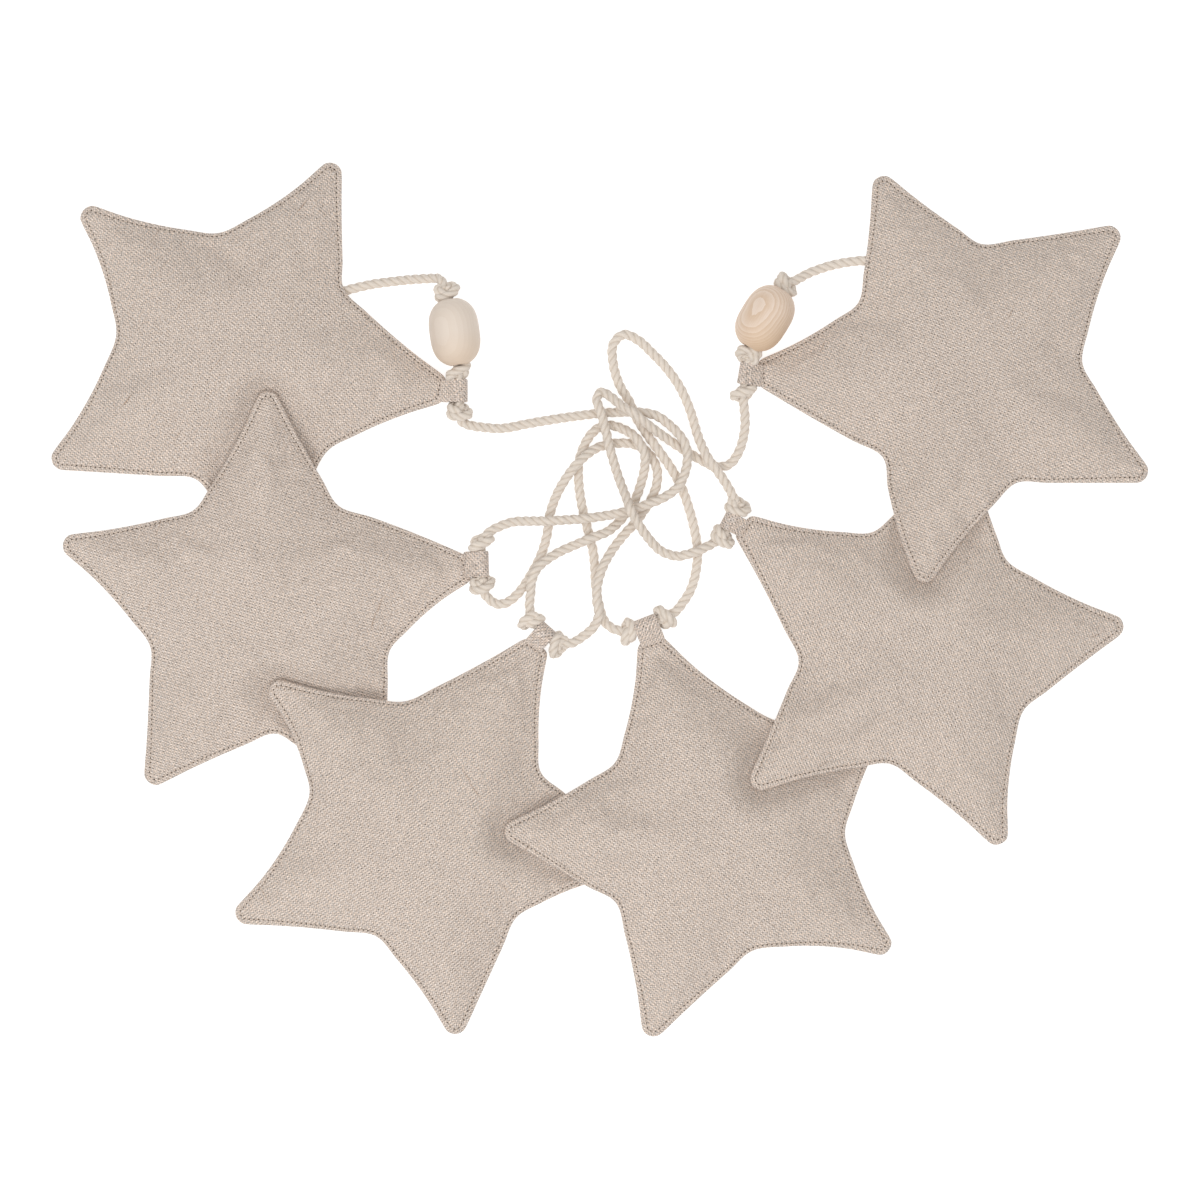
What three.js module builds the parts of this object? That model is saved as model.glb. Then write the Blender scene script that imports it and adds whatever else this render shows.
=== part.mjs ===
// A garland of six padded linen stars, tied by a fabric tab at one tip onto a twisted cotton cord.
// It lies loosely gathered on a flat surface, each star's arm on the star before it. The cord is
// knotted on both sides of every tab and carries an oval wooden bead near each of its two ends.
// Millimetres, +Z up. The origin is the middle of the garland's outline, on the surface it lies on.

import * as THREE from 'three';

// --- driving dimensions -------------------------------------------------------------------------

const KNOT_GAP = 0.85;         // air between a knot and the cord that leaves it
const LYING_GAP = 0.7;         // air under a star that lies on something

const CORD_RADIUS = 2.5;       // 5 mm three-strand cord
const CORD_SIDES = 8;
const CORD_STEP = 11;          // length of one straight stretch of a cord's tube

const TIP_RADIUS = 6;          // rounding of a plain star tip
const TAB_END_HALF = 5.5;      // half the width of the blunt tip that holds a tab
const TAB_END_SHOULDER = 2;    // how much wider and farther back its shoulders are
const TAB_TIP_POINT = 2;       // which point of the outline is the middle of that tip
const SIDE_FRACTIONS = [0.25, 0.5, 0.75];

const RIM_HALF = 0.9;          // half thickness of the pressed edge
const STITCH_HALF = 1.3;       // half thickness at the line of topstitching
const RING_INSETS = [0, 0.055, 0.17, 0.36, 0.58, 0.8];
const STITCH_INSET = RING_INSETS[1];
const CROWN_ABOVE = 12.5;      // swell of the top face above the seam, at a star's middle
const CROWN_BELOW = 9;         // swell of the bottom face, before the surface presses it flat
const SWELL_POWER = 0.75;      // how fast the filling swells away from the seam
const SEAM_HEIGHT = 4;         // height of the seam above the surface, halfway along a side
const TIP_HEIGHT = 1.7;        // height of the seam at a plain tip
const RISE_POWER = 4;          // how late along an arm the seam changes to its tip's height
const SINK = 0.5;              // share of the lower swell that what lies below may press in
const SAG = 0.12;              // droop of the seam sheet at each step of its settling
const SETTLING_STEPS = 60;
const ON_LINE_SQUARED = 1e-6;  // smallest squared distance from a side's line that is measured
const STAR_REACH = 105;        // distance from a star's middle to its tips
const TAB_ARM_COSINE = 0.85;   // how closely a spot must lie in the tab's direction to be on its arm
const FEEL_FROM = 100;         // height from which the pieces below are felt
const FEEL_RADII = [8, 8, 10, 13, 16, 18];  // how far around each ring's points they are felt
const FEEL_CENTRE = 22;
const FEEL_RAYS = 16;
const FEEL_CIRCLES = [0.2, 0.4, 0.6, 0.8, 1];

const TAB_BAND = 1.2;          // thickness of the folded linen band
const TAB_HOLE = CORD_RADIUS + 0.4;
const TAB_OUTER = TAB_HOLE + TAB_BAND;
const TAB_WRAP = 110;          // degrees from the tab's outer edge to where the band turns inwards
const TAB_ARC_STEPS = 8;

const KNOT_HALF_WIDTH = 6;
const KNOT_HALF_HEIGHT = 5;
const KNOT_SIDES = 12;
const KNOT_ROWS = 8;

const BEAD_RADIUS = 12.4;
const BEAD_HALF_LENGTH = 16.2;
const BEAD_FULL_HALF_LENGTH = 17.1;  // where the oval would close if its ends were not cut flat
const BEAD_FULLNESS = 2.2;     // exponent of the oval, where 2 is an ellipse
const BEAD_BORE = 3;
const BEAD_HEIGHT = 12.45;
const BEAD_SIDES = 20;
const BEAD_STEPS = 10;

const LINEN = { color: 0xc8bcb2, roughness: 0.95, metalness: 0 };
const COTTON = { color: 0xe2d3c2, roughness: 0.92, metalness: 0 };
const PALE_WOOD = { color: 0xe3cfb6, roughness: 0.55, metalness: 0 };
const WARM_WOOD = { color: 0xe2c0a2, roughness: 0.55, metalness: 0 };

// --- where things lie ---------------------------------------------------------------------------

// Stars from the lowest to the topmost. Each arm gives its tip, the valley after it, counter-
// clockwise, and how far the sides before and after that valley are drawn in. The first arm holds
// the tab, and tabHeight is the seam's height at its tip.
const STARS = [
  { name: 'star_1', centre: [-182.9, 122], tabHeight: 7.2, arms: [
    { tip: [-78.1, 105], valley: [-128.5, 155.5], bows: [1.5, 0.5] },
    { tip: [-133, 219], valley: [-191.5, 184], bows: [3, 2.5] },
    { tip: [-259.5, 196], valley: [-243, 132.5], bows: [3, 3] },
    { tip: [-275, 68], valley: [-204, 61], bows: [0, 2] },
    { tip: [-167, 17], valley: [-136.5, 75], bows: [2, 2] },
  ] },
  { name: 'star_2', centre: [-167.9, -3], tabHeight: 5.2, arms: [
    { tip: [-65.8, 16.3], valley: [-131, 47], bows: [-1, 1] },
    { tip: [-166, 104.5], valley: [-203.5, 45], bows: [2, 1.5] },
    { tip: [-270, 29], valley: [-226, -23.5], bows: [2.5, 0.5] },
    { tip: [-226.5, -92], valley: [-163.5, -67], bows: [1, -1] },
    { tip: [-108.5, -91], valley: [-106, -26], bows: [1, 2.5] },
  ] },
  { name: 'star_3', centre: [-90.4, -114], tabHeight: 5.2, arms: [
    { tip: [-32, -22.2], valley: [-97.5, -50.5], bows: [1, 2] },
    { tip: [-164.5, -41.5], valley: [-146, -97.5], bows: [3.5, 3.5] },
    { tip: [-183, -159.5], valley: [-113, -168.5], bows: [1, 2] },
    { tip: [-72, -218], valley: [-42.5, -159.5], bows: [0, 3] },
    { tip: [14, -134], valley: [-30, -86.5], bows: [-1.5, 2.5] },
  ] },
  { name: 'star_4', centre: [57.6, -119], tabHeight: 5.2, arms: [
    { tip: [24.8, -20], valley: [7, -81.5], bows: [2.5, 1.5] },
    { tip: [-48.5, -115.5], valley: [7.5, -151.5], bows: [0, 1.5] },
    { tip: [24.5, -219], valley: [76, -176], bows: [0.5, 3.5] },
    { tip: [145, -175.5], valley: [122.5, -117], bows: [2.5, 2] },
    { tip: [143.5, -57], valley: [87, -60], bows: [2, 3] },
  ] },
  { name: 'star_5', centre: [155.6, -27.5], tabHeight: 5.2, arms: [
    { tip: [70.9, 37.4], valley: [99, -30.5], bows: [1, 0.5] },
    { tip: [75.5, -93], valley: [144.5, -82], bows: [2, 1.5] },
    { tip: [201, -122.5], valley: [212, -55.5], bows: [3, 0.5] },
    { tip: [262.5, -12.5], valley: [204, 19.5], bows: [2, 1.5] },
    { tip: [183, 75], valley: [136, 34], bows: [1.5, 2.5] },
  ] },
  { name: 'star_6', centre: [182.6, 116.5], tabHeight: 7.2, arms: [
    { tip: [78.7, 113.3], valley: [141, 71.5], bows: [-0.5, -2] },
    { tip: [160.5, 8.5], valley: [208, 58.5], bows: [2, 0] },
    { tip: [274, 61.5], valley: [241.5, 119], bows: [1.5, 2.5] },
    { tip: [259.5, 186], valley: [191, 178.5], bows: [0.5, 1] },
    { tip: [139.5, 212.5], valley: [129, 149], bows: [1, 2] },
  ] },
];

// The tabs: the cord's middle inside each, the cord's heading there in degrees, the band's width
// along the cord, and its reach from the star's tip to the cord.
const TABS = [
  { name: 'tab_1', at: [-70.6, 104.7, 7.2], heading: 90, width: 11.6, reach: 6.2 },
  { name: 'tab_2', at: [-60.1, 18, 5.2], heading: 91.4, width: 13, reach: 4.4 },
  { name: 'tab_3', at: [-28.1, -16.4, 5.2], heading: 138.5, width: 10, reach: 5.7 },
  { name: 'tab_4', at: [22.8, -12.5, 5.2], heading: -158.8, width: 12.6, reach: 7 },
  { name: 'tab_5', at: [64.8, 39.2, 5.2], heading: -116.9, width: 9.2, reach: 5 },
  { name: 'tab_6', at: [72.9, 113.3, 7.2], heading: -99.6, width: 11, reach: 4.1 },
];

// The beads' middles and the heading of their bores.
const BEADS = [
  { name: 'bead_1', at: [-73, 133.7, BEAD_HEIGHT], heading: 97.9, wood: PALE_WOOD },
  { name: 'bead_2', at: [81.9, 140.6, BEAD_HEIGHT], heading: 58.1, wood: WARM_WOOD },
];

// The overhand knots: middle, heading of the cord through them, and half their length along it.
const KNOTS = [
  { name: 'knot_1_outer', at: [-77.2, 154.1, 10], heading: 97.9, half: 3.9 },
  { name: 'knot_1_inner', at: [-71, 114.1, 9.8], heading: 92, half: 3 },
  { name: 'knot_1_low', at: [-70.9, 94.5, 5.8], heading: -90, half: 4 },
  { name: 'knot_2_high', at: [-60, 28.6, 5.2], heading: 90, half: 3.7 },
  { name: 'knot_2_low', at: [-59.6, 7.8, 5.2], heading: -88, half: 3.3 },
  { name: 'knot_3_left', at: [-34.7, -10.5, 5.2], heading: 138.5, half: 3.6 },
  { name: 'knot_3_right', at: [-21.5, -22.3, 5.2], heading: -41.5, half: 3.6 },
  { name: 'knot_4_left', at: [13.4, -16.2, 5.2], heading: -158.8, half: 3.5 },
  { name: 'knot_4_right', at: [32.2, -8.8, 5.2], heading: 21.2, half: 3.5 },
  { name: 'knot_5_high', at: [68.6, 46.6, 5.2], heading: 63.1, half: 3.4 },
  { name: 'knot_5_low', at: [61, 31.8, 5.2], heading: -116.9, half: 3.4 },
  { name: 'knot_6_low', at: [71.3, 103.9, 5.8], heading: -99.6, half: 3.8 },
  { name: 'knot_6_inner', at: [73.8, 122.5, 9.8], heading: 70, half: 2.9 },
  { name: 'knot_6_outer', at: [92.4, 157.5, 10], heading: 58.1, half: 3.2 },
  { name: 'knot_1_end', at: [-182, 105.6, 5.1], heading: -108, half: 4 },
  { name: 'knot_6_end', at: [183.3, 111.2, 5.1], heading: -92, half: 4 },
];

// The free stretches of cord, each from one knot to the next, by points chosen along the way.
// Where two stretches cross, the upper one is a cord's thickness higher.
const STRETCHES = [
  { name: 'cord_end_1', from: 'knot_1_outer', to: 'knot_1_end', way: [
    [-80.5, 160.4, 7.4], [-86.5, 161, 4.2], [-95.5, 160.5, 2.7], [-105, 159.5, 2.7],
    [-115.5, 158, 2.7], [-128, 155, 2.7], [-141.5, 150.5, 2.7], [-155.5, 144, 2.7],
    [-167.5, 135, 2.7], [-176.5, 124, 2.7], [-180, 114, 3.6],
  ] },
  { name: 'cord_1_2', from: 'knot_1_low', to: 'knot_2_high', way: [
    [-69.5, 89.3, 4], [-65.5, 87.5, 3], [-59, 86.5, 2.7], [-49, 86, 2.7], [-35.5, 88.5, 2.7],
    [-20.5, 91, 2.7], [-5.5, 93, 2.7], [1, 93.7, 2.7], [8.5, 94, 4.4], [17, 94, 8.2],
    [27, 92.5, 7], [34.5, 87.5, 6.4], [40.5, 81, 7.8], [43.2, 74, 8.2], [42.5, 65, 7.8],
    [38.5, 56.5, 8.2], [31, 51, 7.6], [21, 47, 8.2], [9.5, 43.5, 8], [0, 41.8, 7.6],
    [-9, 40.6, 8], [-18, 40, 7.8], [-26, 39.5, 8], [-35, 39.5, 5.6], [-44.5, 39, 3.2],
    [-53.5, 35.5, 3.6], [-57.2, 32.6, 4.6],
  ] },
  { name: 'cord_2_3', from: 'knot_2_low', to: 'knot_3_right', way: [
    [-58.3, 3.4, 4.4], [-56, 0.5, 3.4], [-52, -2, 2.7], [-46.5, -1, 2.7], [-40, 5, 2.7],
    [-34, 14.5, 2.7], [-30, 22.5, 2.7], [-27, 32.5, 2.7], [-25.5, 43, 2.7], [-22, 53, 3.4],
    [-17, 61.5, 6.6], [-11, 69, 8.4], [-3, 75.5, 4.8], [4, 78, 2.7], [10.5, 78.6, 2.7],
    [16.5, 78, 2.7], [23.5, 74, 2.7], [28, 66, 2.7], [28, 58, 2.7], [25.5, 51, 2.7],
    [21.5, 44.5, 2.7], [17.5, 39, 2.7], [12, 33, 2.8], [6.5, 26, 4.6], [1.5, 17.5, 7.6],
    [-1.5, 8.5, 8], [-2, 0, 8], [-1, -7.5, 7.8], [-4, -14, 5], [-10, -19, 3.4],
    [-14.6, -21.6, 4.3],
  ] },
  { name: 'cord_3_4', from: 'knot_3_left', to: 'knot_4_left', way: [
    [-35.7, -3.2, 4.4], [-35.2, 3, 4.8], [-34.6, 9.5, 7.6], [-31.2, 16.5, 8.2], [-22.5, 23, 6],
    [-13, 27.5, 5], [-5, 30.9, 8], [3, 34, 5.6], [8.5, 38.5, 2.8], [13, 44, 2.7],
    [17.5, 51, 2.7], [20, 58, 2.8], [21.9, 66, 4.4], [21.7, 73.5, 8.1], [18, 80.8, 7.8],
    [10.8, 85.8, 4.4], [2.5, 87.6, 2.7], [-4, 84, 2.7], [-8.5, 77, 2.7], [-11, 68.5, 2.7],
    [-11, 58, 2.7], [-9.5, 47.5, 2.7], [-6.5, 35, 2.7], [-4, 25, 2.7], [-3, 16, 2.7],
    [-2.5, 6.5, 2.7], [-1, -2, 2.7], [1.5, -10, 2.8], [6.1, -14.3, 4.2],
  ] },
  { name: 'cord_4_5', from: 'knot_4_right', to: 'knot_5_high', way: [
    [37.6, -5.6, 4.4], [41, -1.5, 3.2], [45, 5, 2.7], [47.5, 13.5, 2.7], [48.5, 24, 2.7],
    [47, 35, 2.7], [44, 46.5, 2.7], [40, 57.5, 2.7], [34.5, 67, 4], [28.2, 75.8, 6.2],
    [22.8, 83.5, 4.8], [17.7, 91.7, 2.7], [14, 100, 2.7], [9.5, 107.5, 2.7], [6.5, 117, 2.7],
    [6, 127.5, 2.7], [11.5, 133, 2.7], [19, 130, 2.7], [26, 123.5, 2.7], [33.5, 115.5, 2.7],
    [40, 106, 2.7], [45, 94.5, 2.7], [48.7, 82, 4.6], [52.5, 73, 7.2], [55.8, 67.8, 8.1],
    [60.5, 61.5, 6.4], [65, 54.2, 5],
  ] },
  { name: 'cord_5_6', from: 'knot_5_low', to: 'knot_6_low', way: [
    [56.8, 28.6, 5], [52.5, 26.4, 6.8], [48, 24.3, 8.1], [43, 22.8, 7.2], [37.5, 22, 5],
    [29.5, 25, 4.8], [22.5, 32.5, 8.6], [17.2, 40.5, 12.2], [14.8, 45, 14], [13, 50.5, 11.2],
    [8.5, 62.5, 6.8], [5, 74, 8.7], [2.5, 84.5, 8.3], [0, 94, 8.7], [-2, 100, 6.8],
    [0, 104, 5.6], [4.5, 102, 7.2], [10.5, 97, 11], [16.8, 92.8, 14], [25.5, 86, 9.8],
    [33.5, 80.5, 4.6], [42, 75, 2.7], [50.5, 70, 2.7], [57, 67, 2.7], [64.5, 68, 2.7],
    [69.5, 75, 2.7], [72, 84.5, 2.8], [72.2, 91.5, 3.6], [71.6, 97.5, 4.8],
  ] },
  { name: 'cord_end_6', from: 'knot_6_outer', to: 'knot_6_end', way: [
    [98.3, 160.3, 7], [105, 164, 3.8], [115, 167.5, 2.7], [125.5, 169.5, 2.7],
    [134.5, 170, 2.7], [147.5, 168.5, 2.7], [160.5, 163.5, 2.7], [172.5, 155, 2.7],
    [180.5, 143, 2.7], [184, 129.5, 2.7], [183.7, 119, 3.8],
  ] },
];

// --- helpers ------------------------------------------------------------------------------------

const UP = new THREE.Vector3(0, 0, 1);
const RADIANS = Math.PI / 180;

function piece(name, geometry, look) {
  const mesh = new THREE.Mesh(geometry, new THREE.MeshStandardMaterial(look));
  mesh.name = name;
  return mesh;
}

// Places a mesh whose local Y axis is the cord's line, with its local Z axis up.
function layAlongCord(mesh, at, heading) {
  mesh.position.set(...at);
  mesh.rotation.set(0, 0, heading * RADIANS - Math.PI / 2);
  return mesh;
}

// --- stars --------------------------------------------------------------------------------------

// The five points around a rounded tip, from the side before it to the side after it.
function roundTip(tip, outward, before, after) {
  const middle = tip.clone().addScaledVector(outward, -TIP_RADIUS);
  const touch = (valley, side) => {
    const away = valley.clone().sub(middle);
    return away.angle() + side * Math.acos(TIP_RADIUS / away.length());
  };
  const start = touch(before, 1);
  const turn = (touch(after, -1) - start + 4 * Math.PI) % (2 * Math.PI);
  return [0, 0.25, 0.5, 0.75, 1].map((share) => {
    const angle = start + turn * share;
    return new THREE.Vector2(Math.cos(angle), Math.sin(angle)).multiplyScalar(TIP_RADIUS).add(middle);
  });
}

// The five points around the blunt tip that a tab comes out of.
function bluntTip(tip, outward) {
  const across = new THREE.Vector2(-outward.y, outward.x);
  const profile = [
    { back: TAB_END_SHOULDER, side: -TAB_END_HALF - TAB_END_SHOULDER },
    { back: 0, side: -TAB_END_HALF },
    { back: 0, side: 0 },
    { back: 0, side: TAB_END_HALF },
    { back: TAB_END_SHOULDER, side: TAB_END_HALF + TAB_END_SHOULDER },
  ];
  return profile.map(({ back, side }) => (
    tip.clone().addScaledVector(outward, -back).addScaledVector(across, side)
  ));
}

// The points inside a star's side, drawn in by its bow between its two ends.
function sidePoints(start, end, bow) {
  const along = end.clone().sub(start);
  const inward = new THREE.Vector2(-along.y, along.x).normalize();
  return SIDE_FRACTIONS.map((share) => (
    start.clone().addScaledVector(along, share)
      .addScaledVector(inward, bow * 4 * share * (1 - share))
  ));
}

// A star's outline around its own centre, counter-clockwise.
function starOutline(star) {
  const centre = new THREE.Vector2(...star.centre);
  const tips = star.arms.map((arm) => new THREE.Vector2(...arm.tip).sub(centre));
  const valleys = star.arms.map((arm) => new THREE.Vector2(...arm.valley).sub(centre));
  const ends = tips.map((tip, i) => {
    const outward = tip.clone().normalize();
    return i === 0
      ? bluntTip(tip, outward)
      : roundTip(tip, outward, valleys[(i + 4) % 5], valleys[i]);
  });
  return ends.flatMap((end, i) => [
    ...end,
    ...sidePoints(end[4], valleys[i], star.arms[i].bows[0]),
    valleys[i],
    ...sidePoints(valleys[i], ends[(i + 1) % 5][0], star.arms[i].bows[1]),
  ]);
}

// A smooth measure of how far a point lies inside a closed outline: exact beside a straight side,
// and rounded over where two sides are near.
function depthInside(point, outline) {
  const pull = outline.reduce((sum, start, i) => {
    const end = outline[(i + 1) % outline.length];
    const along = end.clone().sub(start);
    const length = along.length();
    along.divideScalar(length);
    const first = start.clone().sub(point);
    const nearest = Math.abs(first.cross(along));
    const squared = Math.max(nearest * nearest, ON_LINE_SQUARED);
    const from = first.dot(along);
    const to = from + length;
    return sum + (to / Math.sqrt(squared + to * to) - from / Math.sqrt(squared + from * from)) / squared;
  }, 0);
  return Math.sqrt(2 / pull);
}

// The highest point of the given meshes over a spot and the spots within a radius around it.
function heightBelow(x, y, radius, meshes) {
  const spots = [[x, y]];
  for (let i = 0; i < FEEL_RAYS; i += 1) {
    const angle = (i / FEEL_RAYS) * 2 * Math.PI;
    for (const share of FEEL_CIRCLES) {
      spots.push([x + share * radius * Math.cos(angle), y + share * radius * Math.sin(angle)]);
    }
  }
  const down = UP.clone().negate();
  const heights = spots.map(([sx, sy]) => {
    const hits = new THREE.Raycaster(new THREE.Vector3(sx, sy, FEEL_FROM), down).intersectObjects(meshes);
    return hits.length ? hits[0].point.z : 0;
  });
  return Math.max(...heights);
}

// The seam sheet's height at every ring point. It lies over what is below like a stiff cloth:
// held up where it touches, and sagging a little in between.
function settleSheet(rings, swell, below, star) {
  const floor = rings.map((ring, r) => ring.map((point, j) => {
    const distance = Math.min(1, point.length() / STAR_REACH);
    const toTab = point.clone().normalize().dot(rings[0][TAB_TIP_POINT].clone().normalize());
    const tipHeight = toTab > TAB_ARM_COSINE ? star.tabHeight : TIP_HEIGHT;
    const resting = SEAM_HEIGHT + (tipHeight - SEAM_HEIGHT) * distance ** RISE_POWER;
    const lifted = below[r][j] + LYING_GAP + STITCH_HALF - SINK * CROWN_BELOW * swell[r][j];
    return below[r][j] > 0 ? Math.max(resting, lifted) : resting;
  }));
  let sheet = floor.map((ring) => [...ring]);
  for (let step = 0; step < SETTLING_STEPS; step += 1) {
    sheet = sheet.map((ring, r) => ring.map((height, j) => {
      const count = ring.length;
      const inner = r + 1 < sheet.length ? sheet[r + 1][j] : height;
      const outer = r > 0 ? sheet[r - 1][j] : height;
      const around = (ring[(j + 1) % count] + ring[(j + count - 1) % count]) / 2;
      return Math.max(floor[r][j], (inner + outer + 2 * around) / 4 - SAG);
    }));
  }
  return sheet;
}

// One star as a closed mesh: top and bottom faces built from rings of the outline drawn towards
// the centre, joined by the narrow wall of the pressed edge.
function starGeometry(star, meshesBelow) {
  const outline = starOutline(star);
  const rings = RING_INSETS.map((inset) => outline.map((p) => p.clone().multiplyScalar(1 - inset)));
  const stitchLine = rings[1];
  const middle = new THREE.Vector2(0, 0);
  const depthAtCentre = depthInside(middle, stitchLine);
  const swellAt = (point, inset) => {
    if (inset <= STITCH_INSET) return 0;
    const share = Math.min(1, depthInside(point, stitchLine) / depthAtCentre);
    return Math.sin((Math.PI / 2) * share ** SWELL_POWER);
  };
  const swell = rings.map((ring, r) => ring.map((p) => swellAt(p, RING_INSETS[r])));
  const [cx, cy] = star.centre;
  const below = rings.map((ring, r) => ring.map((p) => (
    heightBelow(cx + p.x, cy + p.y, FEEL_RADII[r], meshesBelow)
  )));
  const sheet = settleSheet(rings, swell, below, star);

  const positions = [];
  const indices = [];
  const count = outline.length;
  const halfAt = (r) => (r === 0 ? RIM_HALF : STITCH_HALF);
  const rest = (r, j) => (below[r][j] > 0 ? below[r][j] + LYING_GAP : 0);
  const faces = [
    (r, j) => sheet[r][j] + halfAt(r) + CROWN_ABOVE * swell[r][j],
    (r, j) => Math.max(rest(r, j), sheet[r][j] - halfAt(r) - CROWN_BELOW * swell[r][j]),
  ];
  faces.forEach((heightOf) => {
    rings.forEach((ring, r) => ring.forEach((p, j) => positions.push(p.x, p.y, heightOf(r, j))));
  });
  const innermost = sheet.at(-1);
  const sheetMiddle = innermost.reduce((a, b) => a + b) / count;
  const belowMiddle = heightBelow(cx, cy, FEEL_CENTRE, meshesBelow);
  positions.push(0, 0, sheetMiddle + STITCH_HALF + CROWN_ABOVE);
  positions.push(0, 0, belowMiddle > 0 ? belowMiddle + LYING_GAP : 0);

  const faceStart = (face) => face * rings.length * count;
  const point = (face, r, j) => faceStart(face) + r * count + (j % count);
  const centrePoint = (face) => 2 * rings.length * count + face;
  const triangle = (face, a, b, c) => indices.push(...(face === 0 ? [a, b, c] : [a, c, b]));
  for (let j = 0; j < count; j += 1) {
    for (const face of [0, 1]) {
      for (let r = 0; r + 1 < rings.length; r += 1) {
        triangle(face, point(face, r, j), point(face, r, j + 1), point(face, r + 1, j));
        triangle(face, point(face, r, j + 1), point(face, r + 1, j + 1), point(face, r + 1, j));
      }
      const last = rings.length - 1;
      triangle(face, point(face, last, j), point(face, last, j + 1), centrePoint(face));
    }
    indices.push(point(1, 0, j), point(1, 0, j + 1), point(0, 0, j));
    indices.push(point(1, 0, j + 1), point(0, 0, j + 1), point(0, 0, j));
  }
  const geometry = new THREE.BufferGeometry();
  geometry.setAttribute('position', new THREE.Float32BufferAttribute(positions, 3));
  geometry.setIndex(indices);
  return geometry;
}

function makeStar(star, meshesBelow) {
  const mesh = piece(star.name, starGeometry(star, meshesBelow), LINEN);
  mesh.position.set(...star.centre, 0);
  mesh.updateMatrixWorld();
  return mesh;
}

// --- tabs, beads, knots and cord ----------------------------------------------------------------

// A linen band folded around the cord. In its own frame the cord runs along Z through the origin
// and the star's tip lies at -X.
function makeTab({ name, at, heading, width, reach }) {
  const wrap = TAB_WRAP * RADIANS;
  const shape = new THREE.Shape();
  shape.moveTo(-reach, TAB_BAND);
  shape.lineTo(-reach, -TAB_BAND);
  shape.absarc(0, 0, TAB_OUTER, -wrap, wrap, false);
  shape.closePath();
  const hole = new THREE.Path();
  hole.absarc(0, 0, TAB_HOLE, 0, 2 * Math.PI, true);
  shape.holes.push(hole);
  const geometry = new THREE.ExtrudeGeometry(shape, {
    depth: width,
    bevelEnabled: false,
    curveSegments: TAB_ARC_STEPS,
  });
  geometry.translate(0, 0, -width / 2);
  geometry.rotateX(Math.PI / 2);
  const mesh = piece(name, geometry, LINEN);
  return layAlongCord(mesh, at, heading);
}

function makeBead({ name, at, heading, wood }) {
  const profile = [new THREE.Vector2(BEAD_BORE, -BEAD_HALF_LENGTH)];
  for (let i = 0; i <= BEAD_STEPS; i += 1) {
    const along = BEAD_HALF_LENGTH * Math.sin((i / BEAD_STEPS - 0.5) * Math.PI);
    const share = Math.abs(along / BEAD_FULL_HALF_LENGTH) ** BEAD_FULLNESS;
    profile.push(new THREE.Vector2(BEAD_RADIUS * Math.sqrt(1 - share), along));
  }
  profile.push(new THREE.Vector2(BEAD_BORE, BEAD_HALF_LENGTH));
  profile.push(profile[0].clone());
  return layAlongCord(piece(name, new THREE.LatheGeometry(profile, BEAD_SIDES), wood), at, heading);
}

function makeKnot({ name, at, heading, half }) {
  const geometry = new THREE.SphereGeometry(1, KNOT_SIDES, KNOT_ROWS);
  geometry.scale(KNOT_HALF_WIDTH, half, KNOT_HALF_HEIGHT);
  return layAlongCord(piece(name, geometry, COTTON), at, heading);
}

// The straight length of cord inside a tab or a bead.
function makeCordInside(name, at, heading, length) {
  const geometry = new THREE.CylinderGeometry(CORD_RADIUS, CORD_RADIUS, length, CORD_SIDES);
  return layAlongCord(piece(name, geometry, COTTON), at, heading);
}

// Where a cord that heads for a point leaves the outside of a knot.
function leavePoint(knotName, towards) {
  const { at, heading, half } = KNOTS.find((knot) => knot.name === knotName);
  const middle = new THREE.Vector3(...at);
  const away = towards.clone().sub(middle);
  const local = away.clone().applyAxisAngle(UP, Math.PI / 2 - heading * RADIANS);
  const size = new THREE.Vector3(KNOT_HALF_WIDTH, half, KNOT_HALF_HEIGHT);
  const scale = 1 / local.divide(size).length();
  return middle.addScaledVector(away, scale + KNOT_GAP / away.length());
}

function makeStretch({ name, from, to, way }) {
  const free = way.map((point) => new THREE.Vector3(...point));
  const points = [leavePoint(from, free[0]), ...free, leavePoint(to, free.at(-1))];
  const curve = new THREE.CatmullRomCurve3(points, false, 'centripetal');
  const section = new THREE.Shape();
  for (let i = 0; i < CORD_SIDES; i += 1) {
    const angle = (i / CORD_SIDES) * 2 * Math.PI;
    const corner = [CORD_RADIUS * Math.cos(angle), CORD_RADIUS * Math.sin(angle)];
    if (i === 0) section.moveTo(...corner);
    else section.lineTo(...corner);
  }
  section.closePath();
  const steps = Math.round(curve.getLength() / CORD_STEP);
  const geometry = new THREE.ExtrudeGeometry(section, { extrudePath: curve, steps, bevelEnabled: false });
  return piece(name, geometry, COTTON);
}

// --- the garland --------------------------------------------------------------------------------

const knots = KNOTS.map(makeKnot);
const stretches = STRETCHES.map(makeStretch);
const tabs = TABS.map(makeTab);
const beads = BEADS.map(makeBead);
const tabCords = TABS.map(({ at, heading, width }, i) => (
  makeCordInside(`cord_in_tab_${i + 1}`, at, heading, width)
));
const beadCords = BEADS.map(({ at, heading }, i) => (
  makeCordInside(`cord_in_bead_${i + 1}`, at, heading, 2 * BEAD_HALF_LENGTH)
));

const hidden = [...knots, ...stretches].filter((mesh) => mesh.name.includes('_end'));
hidden.forEach((mesh) => mesh.updateMatrixWorld());
const stars = [];
for (const star of STARS) stars.push(makeStar(star, [...hidden, ...stars]));

const garland = new THREE.Group();
garland.add(...stars, ...tabs, ...beads, ...knots, ...stretches, ...tabCords, ...beadCords);

export default garland;
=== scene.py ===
import math

import bmesh
import bpy
import numpy as np
from mathutils import Matrix, Vector, geometry
from mathutils.bvhtree import BVHTree


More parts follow.
